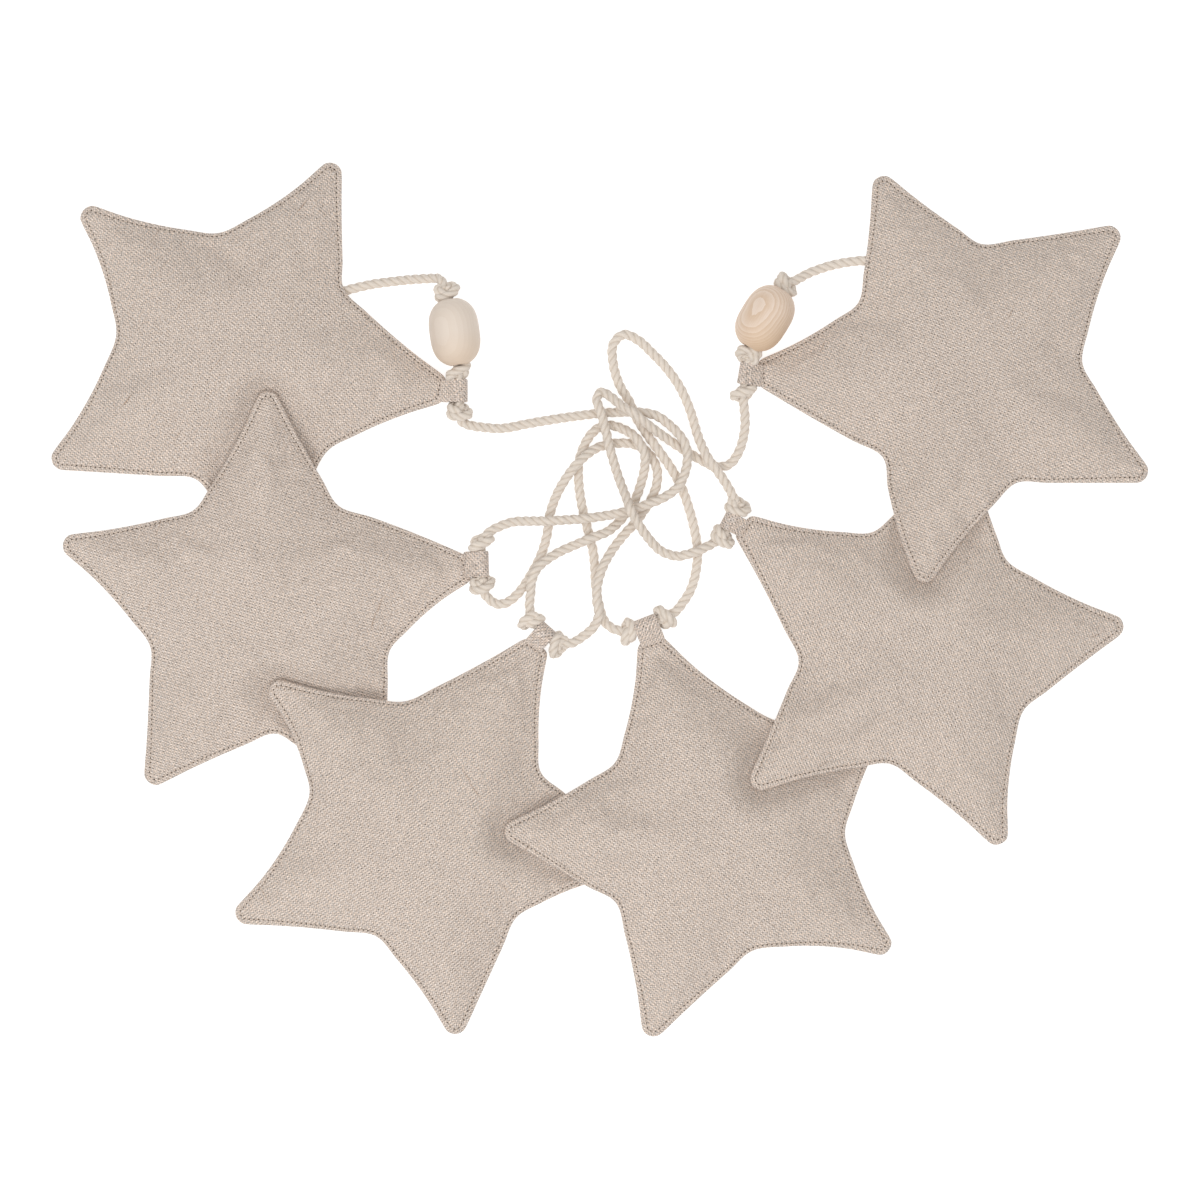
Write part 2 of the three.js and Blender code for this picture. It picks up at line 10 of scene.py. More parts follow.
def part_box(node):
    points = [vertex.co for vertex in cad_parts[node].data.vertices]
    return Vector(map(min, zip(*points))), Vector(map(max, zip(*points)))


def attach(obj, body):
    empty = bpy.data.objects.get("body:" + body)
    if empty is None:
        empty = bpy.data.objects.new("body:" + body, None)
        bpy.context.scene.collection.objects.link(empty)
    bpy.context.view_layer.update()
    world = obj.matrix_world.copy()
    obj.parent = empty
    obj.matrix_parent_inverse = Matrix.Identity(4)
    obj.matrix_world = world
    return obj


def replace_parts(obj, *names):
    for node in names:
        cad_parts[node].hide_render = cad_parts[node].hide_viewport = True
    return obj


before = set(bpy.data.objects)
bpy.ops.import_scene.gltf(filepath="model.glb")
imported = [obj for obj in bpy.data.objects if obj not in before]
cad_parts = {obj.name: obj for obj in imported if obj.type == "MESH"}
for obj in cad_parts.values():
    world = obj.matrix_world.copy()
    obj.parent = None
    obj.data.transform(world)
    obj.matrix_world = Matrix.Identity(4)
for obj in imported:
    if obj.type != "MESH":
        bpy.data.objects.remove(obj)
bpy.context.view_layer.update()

scene = bpy.context.scene

# --- Camera, floor and light --------------------------------------------------------------------
# The garland is seen from straight above, from far enough away that it shows almost no
# perspective. It lies on white paper in a white room, which is brightest overhead, and one big soft
# box stands towards its near left side.

VIEW_WIDTH = 0.6              # across the picture, at the stars' middle height
VIEW_MIDDLE = (-0.0004, 0.0)
STARS_MIDDLE_HEIGHT = 0.008
LENS = 135
SENSOR = 36


def placed(name, data):
    """A new object in the scene, made of the given data."""
    thing = bpy.data.objects.new(name, data)
    scene.collection.objects.link(thing)
    return thing


camera_data = bpy.data.cameras.new("camera")
camera_data.lens = LENS
camera_data.sensor_width = SENSOR
camera = placed("camera", camera_data)
camera.location = (*VIEW_MIDDLE, STARS_MIDDLE_HEIGHT + VIEW_WIDTH * LENS / SENSOR)
scene.camera = camera

FLOOR_SIZE = 8.0
FLOOR_DEPTH = 0.0004          # the floor lies this little under the garland
PAPER_GREY, PAPER_GLOW = 0.5, 0.72
ROOM_COLOUR = (1.0, 0.995, 0.985, 1)
ROOM_LOW, ROOM_HIGH = 0.05, 1.27   # how bright the room is at the horizon and straight above
SOFT_BOX_PLACE = Vector((-0.65, -1.05, 1.5))
SOFT_BOX_SIZE, SOFT_BOX_WATTS = 1.1, 9


def meshed(shape, name):
    """The mesh of a finished shape, with smooth faces."""
    for face in shape.faces:
        face.smooth = True
    mesh = bpy.data.meshes.new(name)
    shape.to_mesh(mesh)
    shape.free()
    return mesh


def feed(tree, name, inputs):
    """Sets the inputs of a shader node, and links those that another node's output is given for."""
    for key, value in inputs.items():
        socket = tree.nodes[name].inputs[key]
        if isinstance(value, bpy.types.NodeSocket):
            tree.links.new(value, socket)
        else:
            socket.default_value = value


def shade(tree, kind, output, inputs, **settings):
    """Adds a shader node and gives the output asked for."""
    node = tree.nodes.new("ShaderNode" + kind)
    for name, value in settings.items():
        setattr(node, name, value)
    feed(tree, node.name, inputs)
    return node.outputs[output]


def spread(tree, value, low, high, to_low=0, to_high=1):
    """Stretches one range of values over another, and cuts off what lies beyond its ends."""
    return shade(tree, "MapRange", "Result", {"Value": value, "From Min": low, "From Max": high,
                                              "To Min": to_low, "To Max": to_high})


def new_material(name):
    material = bpy.data.materials.new(name)
    material.use_nodes = True
    return material, material.node_tree


shape = bmesh.new()
bmesh.ops.create_grid(shape, x_segments=1, y_segments=1, size=FLOOR_SIZE / 2)
bmesh.ops.translate(shape, verts=shape.verts, vec=(0, 0, -FLOOR_DEPTH))
floor = placed("floor", meshed(shape, "floor"))

white_paper, tree = new_material("white_paper")
feed(tree, "Principled BSDF", {
    "Base Color": (PAPER_GREY, PAPER_GREY, PAPER_GREY, 1), "Roughness": 0.9,
    "Specular IOR Level": 0.1, "Emission Color": (1, 1, 1, 1), "Emission Strength": PAPER_GLOW,
})
floor.data.materials.append(white_paper)

room = bpy.data.worlds.new("white_room")
room.use_nodes = True
towards = shade(room.node_tree, "TexCoord", "Generated", {})
height = shade(room.node_tree, "SeparateXYZ", "Z", {0: towards})
brightness = spread(room.node_tree, height, 0, 1, ROOM_LOW, ROOM_HIGH)
feed(room.node_tree, "Background", {"Color": ROOM_COLOUR, "Strength": brightness})
scene.world = room

soft_box = bpy.data.lights.new("soft_box_over", "AREA")
soft_box.shape = "SQUARE"
soft_box.size = SOFT_BOX_SIZE
soft_box.energy = SOFT_BOX_WATTS
lamp = placed("soft_box_over", soft_box)
lamp.location = SOFT_BOX_PLACE
lamp.rotation_euler = (-SOFT_BOX_PLACE).to_track_quat("-Z", "Y").to_euler()

scene.view_settings.view_transform = "Standard"


# --- The cord -----------------------------------------------------------------------------------
# One undyed cotton cord of three strands laid up to the right, 5 mm thick. It runs through every
# tab and both beads, and between them it lies in the loose loops that it was gathered up in. Its
# two ends go under the first and the last star.

CORD_DIAMETER = 0.005
CORD_LAY = 0.0122             # length of cord in which a strand turns once
STRAND_RADIUS = 0.65          # of the cord's radius: soft strands are pressed into each other
CORD_SIDES = 24
CORD_STEP = 0.0008
CURVE_POINTS = 16             # worked out between two given points of a line


def spaced(points, step, closed=False):
    """Points at equal steps along a smooth line through the given ones, round again if closed."""
    points = [Vector(point) for point in points]
    if closed:
        ends = [points[-1], *points, points[0], points[1]]
    else:
        ends = [2 * points[0] - points[1], *points, 2 * points[-1] - points[-2]]
    line = [points[0]]
    for before, start, end, after in zip(ends, ends[1:], ends[2:], ends[3:]):
        leave, arrive = start + (end - before) / 6, end - (after - start) / 6
        line += geometry.interpolate_bezier(start, leave, arrive, end, CURVE_POINTS)[1:]
    line = np.array(line)
    travelled = np.r_[0, np.cumsum(np.linalg.norm(np.diff(line, axis=0), axis=1))]
    even = np.linspace(0, travelled[-1], round(travelled[-1] / step) + 1)
    even = even[:-1] if closed else even
    return [Vector(place) for place in zip(*(np.interp(even, travelled, row) for row in line.T))]


def cord_section(shape):
    """The outline of three strands side by side, as a ring of vertices in the XY plane."""
    strand = STRAND_RADIUS * CORD_DIAMETER / 2
    offset = CORD_DIAMETER / 2 - strand
    ring = bmesh.ops.create_circle(shape, segments=CORD_SIDES, radius=1)["verts"]
    for vert in ring:
        angle = math.atan2(vert.co.y, vert.co.x)
        aside = (angle + math.pi / 3) % (2 * math.pi / 3) - math.pi / 3
        reach = offset * math.cos(aside) + math.sqrt(strand**2 - (offset * math.sin(aside)) ** 2)
        vert.co *= reach
    return ring


def laid_cord(name, points):
    """A length of the twisted cord along a line, and the points of its middle."""
    line = spaced(points, CORD_STEP)
    shape = bmesh.new()
    fibre = shape.verts.layers.float_vector.new("fibre")
    ring = cord_section(shape)
    edges = list(shape.edges)
    first = line[1] - line[0]
    place = Matrix.Translation(line[0]) @ first.to_track_quat("Z", "Y").to_matrix().to_4x4()
    for vert in ring:
        vert[fibre] = vert.co * 1000
    bmesh.ops.transform(shape, matrix=place, verts=ring)
    bmesh.ops.contextual_create(shape, geom=edges)
    heading = first.normalized()
    for i in range(1, len(line)):
        ahead = line[min(i + 1, len(line) - 1)] - line[i - 1]
        ahead.normalize()
        grown = bmesh.ops.extrude_edge_only(shape, edges=edges)["geom"]
        ring = [part for part in grown if isinstance(part, bmesh.types.BMVert)]
        edges = [part for part in grown if isinstance(part, bmesh.types.BMEdge)]
        twist = 2 * math.pi * (line[i] - line[i - 1]).length / CORD_LAY
        turn = Matrix.Rotation(twist, 4, heading)
        bend = heading.rotation_difference(ahead).to_matrix().to_4x4()
        bmesh.ops.translate(shape, vec=-line[i - 1], verts=ring)
        bmesh.ops.transform(shape, matrix=Matrix.Translation(line[i]) @ bend @ turn, verts=ring)
        for vert in ring:
            vert[fibre].z = i * CORD_STEP * 1000
        heading = ahead
    bmesh.ops.contextual_create(shape, geom=edges)
    bmesh.ops.recalc_face_normals(shape, faces=shape.faces)
    return placed(name, meshed(shape, name)), line


# the first colour is painted shade for the grooves between the strands, the second is the cord's
# own colour
PAINTED_GROOVE_SHADE = (0.64, 0.545, 0.45, 1)
STRAND_COLOUR = (0.81, 0.725, 0.64, 1)
GROOVE_AT, BACK_AT = 1.8, 2.25   # how far from the cord's middle the two colours lie, in mm


def soft_cotton():
    """Cotton strands. "fibre" tells where a point lies in the straight cord, in millimetres."""
    material, tree = new_material("cotton_strands")
    fibre = shade(tree, "Attribute", "Vector", {}, attribute_name="fibre")
    # fine fibres that run along the strands, so they are long in the cord's direction
    stretch = shade(tree, "VectorMath", 0, {0: fibre, 1: (3.2, 3.2, 0.45)}, operation="MULTIPLY")
    hairs = shade(tree, "TexNoise", "Fac",
                  {"Vector": stretch, "Scale": 1.0, "Detail": 3.0, "Roughness": 0.65})
    # painted shade down in the grooves between the strands, pale on their backs
    flat = shade(tree, "VectorMath", 0, {0: fibre, 1: (1, 1, 0)}, operation="MULTIPLY")
    out = shade(tree, "VectorMath", "Value", {0: flat}, operation="LENGTH")
    groove_shade_mix = shade(tree, "Mix", "Result", {
        "Factor": spread(tree, out, GROOVE_AT, BACK_AT), "A": PAINTED_GROOVE_SHADE, "B": STRAND_COLOUR,
    }, data_type="RGBA")
    tone = spread(tree, hairs, 0.3, 0.7, 0.86, 1.06)
    feed(tree, "Principled BSDF", {
        "Base Color": shade(tree, "VectorMath", 0, {0: groove_shade_mix, "Scale": tone}, operation="SCALE"),
        "Normal": shade(tree, "Bump", "Normal",
                        {"Height": hairs, "Strength": 0.6, "Distance": 0.00025}),
        "Roughness": 0.92, "Specular IOR Level": 0.2, "Sheen Weight": 0.25, "Sheen Roughness": 0.5,
    })
    return material


cotton = soft_cotton()


def finish_cotton(piece):
    piece.data.materials.append(cotton)
    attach(piece, "root")
    return piece


# --- Overhand knots -----------------------------------------------------------------------------
# A single overhand knot on each side of every tab and bead keeps it in its place on the cord, and
# one at each end of the cord stops it. Each is tied loose and then pulled tight.

UP = Vector((0, 0, 1))
TIE_POINTS = 90                # the knot is worked out in cord diameters, at this many points
TIE_REACH = 2.12
TIE_LOOSENESS = 0.7
TIE_SQUEEZE = 0.8              # soft cord is pressed this thin where it crosses itself
TIE_STIFFNESS = 0.02
TIE_ROUNDS, TIE_CORRECTIONS = 3000, 3
TIE_PULL = 0.05
TIE_STRAIGHTENING = 0.98       # what is left of an end's distance from the axis after each pull
TIE_END = 1.25                 # how far along the cord the knot's own ends are kept
KNOT_WIDE, KNOT_TALL, KNOT_LONG = 1.12, 0.6, 0.56   # it is pressed flat, and against its tab

KNOTS = {                      # middle, heading of the cord through it, turn about the cord
    "knot_1_outer": ((-0.0772, 0.1541, 0.01), 97.9, 20),
    "knot_1_inner": ((-0.071, 0.1141, 0.0098), 92, 110),
    "knot_1_low": ((-0.0709, 0.0945, 0.0058), -90, 200),
    "knot_2_high": ((-0.06, 0.0286, 0.0052), 90, 70),
    "knot_2_low": ((-0.0596, 0.0078, 0.0052), -88, 160),
    "knot_3_left": ((-0.0347, -0.0105, 0.0052), 138.5, 250),
    "knot_3_right": ((-0.0215, -0.0223, 0.0052), -41.5, 40),
    "knot_4_left": ((0.0134, -0.0162, 0.0052), -158.8, 300),
    "knot_4_right": ((0.0322, -0.0088, 0.0052), 21.2, 130),
    "knot_5_high": ((0.0686, 0.0466, 0.0052), 63.1, 10),
    "knot_5_low": ((0.061, 0.0318, 0.0052), -116.9, 220),
    "knot_6_low": ((0.0713, 0.1039, 0.0058), -99.6, 85),
    "knot_6_inner": ((0.0738, 0.1225, 0.0098), 70, 175),
    "knot_6_outer": ((0.0924, 0.1575, 0.01), 58.1, 320),
    "knot_1_end": ((-0.182, 0.1056, 0.0051), -108, 60),
    "knot_6_end": ((0.1833, 0.1112, 0.0051), -92, 240),
}


def tied_overhand():
    """The middle line of a tight overhand knot in a cord along the Z axis that is 1 thick."""
    steps = np.linspace(-TIE_REACH, TIE_REACH, TIE_POINTS)
    line = np.c_[steps**4 - 4 * steps**2 + 2, (steps**5 - 10 * steps) / 5, steps**3 - 3 * steps]
    line *= TIE_LOOSENESS
    travelled = np.r_[0, np.cumsum(np.linalg.norm(np.diff(line, axis=0), axis=1))]
    even = np.linspace(0, travelled[-1], TIE_POINTS)
    line = np.array([np.interp(even, travelled, row) for row in line.T]).T
    link = travelled[-1] / (TIE_POINTS - 1)
    first, second = np.triu_indices(TIE_POINTS, round(2 * TIE_SQUEEZE / link))
    for _ in range(TIE_ROUNDS):
        # the two ends are pulled apart along the axis, and the bends between them resist
        line[[0, -1], 2] += (-TIE_PULL, TIE_PULL)
        line[[0, -1], :2] *= TIE_STRAIGHTENING
        line[1:-1] += TIE_STIFFNESS * (line[:-2] + line[2:] - 2 * line[1:-1])
        for _ in range(TIE_CORRECTIONS):
            # turns that press into each other are pushed apart, and each link keeps its length
            apart = line[second] - line[first]
            distance = np.linalg.norm(apart, axis=1)
            close = distance < TIE_SQUEEZE
            push = apart[close] * ((TIE_SQUEEZE / distance[close] - 1) / 2)[:, None]
            np.add.at(line, second[close], push)
            np.add.at(line, first[close], -push)
            for start in (0, 1):
                near, far = line[start:-1:2], line[start + 1::2]
                near = near[:len(far)]
                mend = far - near
                mend *= (1 - link / np.linalg.norm(mend, axis=1))[:, None] / 2
                near += mend
                far -= mend
    return line[np.abs(line[:, 2]) < TIE_END]


overhand = tied_overhand()
knot_pieces = {}
for name, (middle, heading, turned) in KNOTS.items():
    along = Vector((math.cos(math.radians(heading)), math.sin(math.radians(heading)), 0))
    across = along.cross(UP)
    turn = Matrix.Rotation(math.radians(turned), 3, "Z")
    points = []
    for point in overhand:
        wide, tall, long = turn @ Vector(point) * CORD_DIAMETER
        points.append(Vector(middle) + across * wide * KNOT_WIDE + UP * tall * KNOT_TALL
                      + along * long * KNOT_LONG)
    knot, _ = laid_cord(name.replace("knot", "overhand"), points)
    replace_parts(finish_cotton(knot), name)
    knot_pieces[name] = knot


# --- The cord's free stretches ------------------------------------------------------------------
# Between two tabs the cord lies slack, looped over and under itself in the middle. Its first and
# last stretches leave the knots above the beads and run in under the outermost stars, where a
# knot stops each end.

STRETCHES = {                  # the knots at its two ends, its length, and the way between them
    "cord_end_1": ("knot_1_outer", "knot_1_end", 0.135, [
        (-0.0805, 0.1604, 0.0074), (-0.0865, 0.161, 0.0042), (-0.0955, 0.1605, 0.0027),
        (-0.105, 0.1595, 0.0027), (-0.1155, 0.158, 0.0027), (-0.128, 0.155, 0.0027),
        (-0.1415, 0.1505, 0.0027), (-0.1555, 0.144, 0.0027), (-0.1675, 0.135, 0.0027),
        (-0.1765, 0.124, 0.0027), (-0.18, 0.114, 0.0036),
    ]),
    "cord_1_2": ("knot_1_low", "knot_2_high", 0.255, [
        (-0.0695, 0.0893, 0.004), (-0.0655, 0.0875, 0.003), (-0.059, 0.0865, 0.0027),
        (-0.049, 0.086, 0.0027), (-0.0355, 0.0885, 0.0027), (-0.0205, 0.091, 0.0027),
        (-0.0055, 0.093, 0.0027), (0.001, 0.0937, 0.0027), (0.0085, 0.094, 0.0044),
        (0.017, 0.094, 0.0082), (0.027, 0.0925, 0.007), (0.0345, 0.0875, 0.0064),
        (0.0405, 0.081, 0.0078), (0.0432, 0.074, 0.0082), (0.0425, 0.065, 0.0078),
        (0.0385, 0.0565, 0.0082), (0.031, 0.051, 0.0076), (0.021, 0.047, 0.0082),
        (0.0095, 0.0435, 0.008), (0, 0.0418, 0.0076), (-0.009, 0.0406, 0.008),
        (-0.018, 0.04, 0.0078), (-0.026, 0.0395, 0.008), (-0.035, 0.0395, 0.0056),
        (-0.0445, 0.039, 0.0032), (-0.0535, 0.0355, 0.0036), (-0.0572, 0.0326, 0.0046),
    ]),
    "cord_2_3": ("knot_2_low", "knot_3_right", 0.259, [
        (-0.0583, 0.0034, 0.0044), (-0.056, 0.0005, 0.0034), (-0.052, -0.002, 0.0027),
        (-0.0465, -0.001, 0.0027), (-0.04, 0.005, 0.0027), (-0.034, 0.0145, 0.0027),
        (-0.03, 0.0225, 0.0027), (-0.027, 0.0325, 0.0027), (-0.0255, 0.043, 0.0027),
        (-0.022, 0.053, 0.0034), (-0.017, 0.0615, 0.0066), (-0.011, 0.069, 0.0084),
        (-0.003, 0.0755, 0.0048), (0.004, 0.078, 0.0027), (0.0105, 0.0786, 0.0027),
        (0.0165, 0.078, 0.0027), (0.0235, 0.074, 0.0027), (0.028, 0.066, 0.0027),
        (0.028, 0.058, 0.0027), (0.0255, 0.051, 0.0027), (0.0215, 0.0445, 0.0027),
        (0.0175, 0.039, 0.0027), (0.012, 0.033, 0.0028), (0.0065, 0.026, 0.0046),
        (0.0015, 0.0175, 0.0076), (-0.0015, 0.0085, 0.008), (-0.002, 0, 0.008),
        (-0.001, -0.0075, 0.0078), (-0.004, -0.014, 0.005), (-0.01, -0.019, 0.0034),
        (-0.0146, -0.0216, 0.0043),
    ]),
    "cord_3_4": ("knot_3_left", "knot_4_left", 0.260, [
        (-0.0357, -0.0032, 0.0044), (-0.0352, 0.003, 0.0048), (-0.0346, 0.0095, 0.0076),
        (-0.0312, 0.0165, 0.0082), (-0.0225, 0.023, 0.006), (-0.013, 0.0275, 0.005),
        (-0.005, 0.0309, 0.008), (0.003, 0.034, 0.0056), (0.0085, 0.0385, 0.0028),
        (0.013, 0.044, 0.0027), (0.0175, 0.051, 0.0027), (0.02, 0.058, 0.0028),
        (0.0219, 0.066, 0.0044), (0.0217, 0.0735, 0.0081), (0.018, 0.0808, 0.0078),
        (0.0108, 0.0858, 0.0044),
        (0.0025, 0.0876, 0.0027), (-0.004, 0.084, 0.0027), (-0.0085, 0.077, 0.0027),
        (-0.011, 0.0685, 0.0027), (-0.011, 0.058, 0.0027), (-0.0095, 0.0475, 0.0027),
        (-0.0065, 0.035, 0.0027), (-0.004, 0.025, 0.0027), (-0.003, 0.016, 0.0027),
        (-0.0025, 0.0065, 0.0027), (-0.001, -0.002, 0.0027), (0.0015, -0.01, 0.0028),
        (0.0061, -0.0143, 0.0042),
    ]),
    "cord_4_5": ("knot_4_right", "knot_5_high", 0.268, [
        (0.0376, -0.0056, 0.0044), (0.041, -0.0015, 0.0032), (0.045, 0.005, 0.0027),
        (0.0475, 0.0135, 0.0027), (0.0485, 0.024, 0.0027), (0.047, 0.035, 0.0027),
        (0.044, 0.0465, 0.0027), (0.04, 0.0575, 0.0027), (0.0345, 0.067, 0.004),
        (0.0282, 0.0758, 0.0062), (0.0228, 0.0835, 0.0048), (0.0177, 0.0917, 0.0027),
        (0.014, 0.1, 0.0027), (0.0095, 0.1075, 0.0027), (0.0065, 0.117, 0.0027),
        (0.006, 0.1275, 0.0027), (0.0115, 0.133, 0.0027), (0.019, 0.13, 0.0027),
        (0.026, 0.1235, 0.0027), (0.0335, 0.1155, 0.0027), (0.04, 0.106, 0.0027),
        (0.045, 0.0945, 0.0027), (0.0487, 0.082, 0.0046), (0.0525, 0.073, 0.0072),
        (0.0558, 0.0678, 0.0081), (0.0605, 0.0615, 0.0064), (0.065, 0.0542, 0.005),
    ]),
    "cord_5_6": ("knot_5_low", "knot_6_low", 0.244, [
        (0.0568, 0.0286, 0.005), (0.0525, 0.0264, 0.0068), (0.048, 0.0243, 0.0081),
        (0.043, 0.0228, 0.0072), (0.0375, 0.022, 0.005), (0.0295, 0.025, 0.0048),
        (0.0225, 0.0325, 0.0086), (0.0172, 0.0405, 0.0122), (0.0148, 0.045, 0.014),
        (0.013, 0.0505, 0.0112), (0.0085, 0.0625, 0.0068), (0.005, 0.074, 0.0087),
        (0.0025, 0.0845, 0.0083), (0, 0.094, 0.0087), (-0.002, 0.1, 0.0068), (0, 0.104, 0.0056),
        (0.0045, 0.102, 0.0072), (0.0105, 0.097, 0.011), (0.0168, 0.0928, 0.014),
        (0.0255, 0.086, 0.0098), (0.0335, 0.0805, 0.0046), (0.042, 0.075, 0.0027),
        (0.0505, 0.07, 0.0027), (0.057, 0.067, 0.0027), (0.0645, 0.068, 0.0027),
        (0.0695, 0.075, 0.0027), (0.072, 0.0845, 0.0028), (0.0722, 0.0915, 0.0036),
        (0.0716, 0.0975, 0.0048),
    ]),
    "cord_end_6": ("knot_6_outer", "knot_6_end", 0.134, [
        (0.0983, 0.1603, 0.007), (0.105, 0.164, 0.0038), (0.115, 0.1675, 0.0027),
        (0.1255, 0.1695, 0.0027), (0.1345, 0.17, 0.0027), (0.1475, 0.1685, 0.0027),
        (0.1605, 0.1635, 0.0027), (0.1725, 0.155, 0.0027), (0.1805, 0.143, 0.0027),
        (0.184, 0.1295, 0.0027), (0.1837, 0.119, 0.0038),
    ]),
}

THROUGH = {                    # the cord inside each tab and bead, and the knots on its two sides
    "cord_in_bead_1": ("knot_1_outer", "knot_1_inner"),
    "cord_in_tab_1": ("knot_1_inner", "knot_1_low"),
    "cord_in_tab_2": ("knot_2_high", "knot_2_low"),
    "cord_in_tab_3": ("knot_3_left", "knot_3_right"),
    "cord_in_tab_4": ("knot_4_left", "knot_4_right"),
    "cord_in_tab_5": ("knot_5_high", "knot_5_low"),
    "cord_in_tab_6": ("knot_6_inner", "knot_6_low"),
    "cord_in_bead_2": ("knot_6_outer", "knot_6_inner"),
}

through_pieces = {}
for node, (start, end) in THROUGH.items():
    low, high = (Vector(corner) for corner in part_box(node))
    ends = [Vector(KNOTS[start][0]), (low + high) / 2, Vector(KNOTS[end][0])]
    inner, _ = laid_cord(node.replace("cord_in", "laid_cord_in"), ends)
    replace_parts(finish_cotton(inner), node)
    through_pieces[node] = inner

BETWEEN_BEAD_AND_TAB = "knot_1_inner", "knot_6_inner"   # no free stretch reaches these
not_carried = {**knot_pieces, **through_pieces}
for node, (start, end, length, way) in STRETCHES.items():
    ends = Vector(KNOTS[start][0]), Vector(KNOTS[end][0])
    stretch, line = laid_cord("laid_" + node, [ends[0], *way, ends[1]])
    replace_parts(finish_cotton(stretch), node)
    names = [start, end]
    for inner, knots in THROUGH.items():
        if start in knots or end in knots:
            names += [inner, *(knot for knot in knots if knot in BETWEEN_BEAD_AND_TAB)]
    carried = [not_carried.pop(name) for name in names if name in not_carried]


# --- The linen ----------------------------------------------------------------------------------
# Undyed linen in a plain weave of uneven, slightly slubbed threads. The stars and the tabs are
# cut from it, each at its own slant. Threads are followed by each cloth's own "weave" places, in
# millimetres along and across the grain.

WARP_PITCH, WEFT_PITCH = 0.70, 0.795
LINEN_COLOURS = (0.580, 0.516, 0.472, 1), (0.626, 0.514, 0.432, 1)
DARK_SLUB_COLOUR = (0.34, 0.22, 0.14, 1)


def natural_linen():
    material, tree = new_material("natural_linen")
    weave = shade(tree, "Attribute", "Vector", {}, attribute_name="weave")

    def work_out(operation, first, second=0.0):
        return shade(tree, "Math", 0, {0: first, 1: second}, operation=operation)

    def noise(stretch, detail=2.0):
        scaled = shade(tree, "VectorMath", 0, {0: weave, 1: stretch}, operation="MULTIPLY")
        return shade(tree, "TexNoise", "Fac",
                     {"Vector": scaled, "Scale": 1.0, "Detail": detail, "Roughness": 0.6})

    # over and under: each crossing is a small pillow, warp and weft on top by turns
    across = shade(tree, "SeparateXYZ", "X", {0: weave})
    along = shade(tree, "SeparateXYZ", "Y", {0: weave})
    warp_wave = work_out("SINE", work_out("MULTIPLY", across, math.pi / WARP_PITCH))
    weft_wave = work_out("SINE", work_out("MULTIPLY", along, math.pi / WEFT_PITCH))
    crossing = work_out("MULTIPLY", warp_wave, weft_wave)
    pillow = work_out("POWER", work_out("ABSOLUTE", crossing), 0.6)

    # every thread has its own tone along its length, and the warp lies in loose pairs
    thread = shade(tree, "Mix", "Result", {
        "Factor": spread(tree, crossing, -0.25, 0.25),
        "A": noise((0.15, 1.3, 1.0)), "B": noise((1.3, 0.15, 1.0)),
    })
    tone = spread(tree, thread, 0.3, 0.7, -0.17, 0.17)
    pairs = spread(tree, noise((0.5, 0.5, 1.0)), 0.3, 0.7, 0.04, 0.34)
    checks = spread(tree, noise((0.4, 0.4, 3.0)), 0.3, 0.7, 0.10, 0.50)
    speckle = spread(tree, noise((1.25, 1.25, 1.0), 1.0), 0.3, 0.7, -0.30, 0.30)
    flecks = spread(tree, noise((0.5, 0.5, 2.0), 1.0), 0.3, 0.7, -0.06, 0.06)
    cloud = spread(tree, noise((0.02, 0.02, 1.0)), 0.3, 0.7, -0.03, 0.03)
    light_slub = spread(tree, noise((0.8, 0.035, 1.0), 1.0), 0.70, 0.80, 0.0, 0.16)
    brightness = 1.0
    for part in (tone, work_out("MULTIPLY", warp_wave, pairs),
                 work_out("MULTIPLY", crossing, checks), speckle, flecks, cloud, light_slub):
        brightness = work_out("ADD", part, brightness)

    # greyer and warmer threads, and here and there a thick dark one
    warmth = spread(tree, noise((0.9, 0.9, 5.0), 1.0), 0.35, 0.65)
    hue = shade(tree, "Mix", "Result",
                {"Factor": warmth, "A": LINEN_COLOURS[0], "B": LINEN_COLOURS[1]}, data_type="RGBA")
    dark_slub = spread(tree, noise((0.04, 0.6, 0.7), 1.0), 0.75, 0.81, 0.0, 0.55)
    base = shade(tree, "Mix", "Result",
                 {"Factor": dark_slub, "A": hue, "B": DARK_SLUB_COLOUR}, data_type="RGBA")
    colour = shade(tree, "VectorMath", 0, {0: base, "Scale": brightness}, operation="SCALE")
    feed(tree, "Principled BSDF", {
        "Base Color": colour,
        "Normal": shade(tree, "Bump", "Normal", {
            "Height": work_out("ADD", pillow, tone), "Strength": 0.55, "Distance": 0.0002,
        }),
        "Roughness": 0.9, "Specular IOR Level": 0.15, "Sheen Weight": 0.2, "Sheen Roughness": 0.5,
    })
    return material


# --- Padded stars -------------------------------------------------------------------------------
# Each star is two faces of natural linen, sewn together, turned right side out and lightly
# filled. Its edge is pressed and topstitched, so the filling swells only inside that line, which
# shows 3 mm in at the tips and nearer the edge along the fuller sides.

GRAIN = {"star_1": 52, "star_2": 74, "star_3": 125, "star_4": 55, "star_5": 26.5, "star_6": 65.5}
UPRIGHT_BELOW = 0.05           # a CAD face stands upright if its normal rises less than this
EDGE_STEP = 0.0026
CLOTH_STEP = 0.003
LOWEST = 0.0002                # how near the surface the cloth comes where a star lies on it
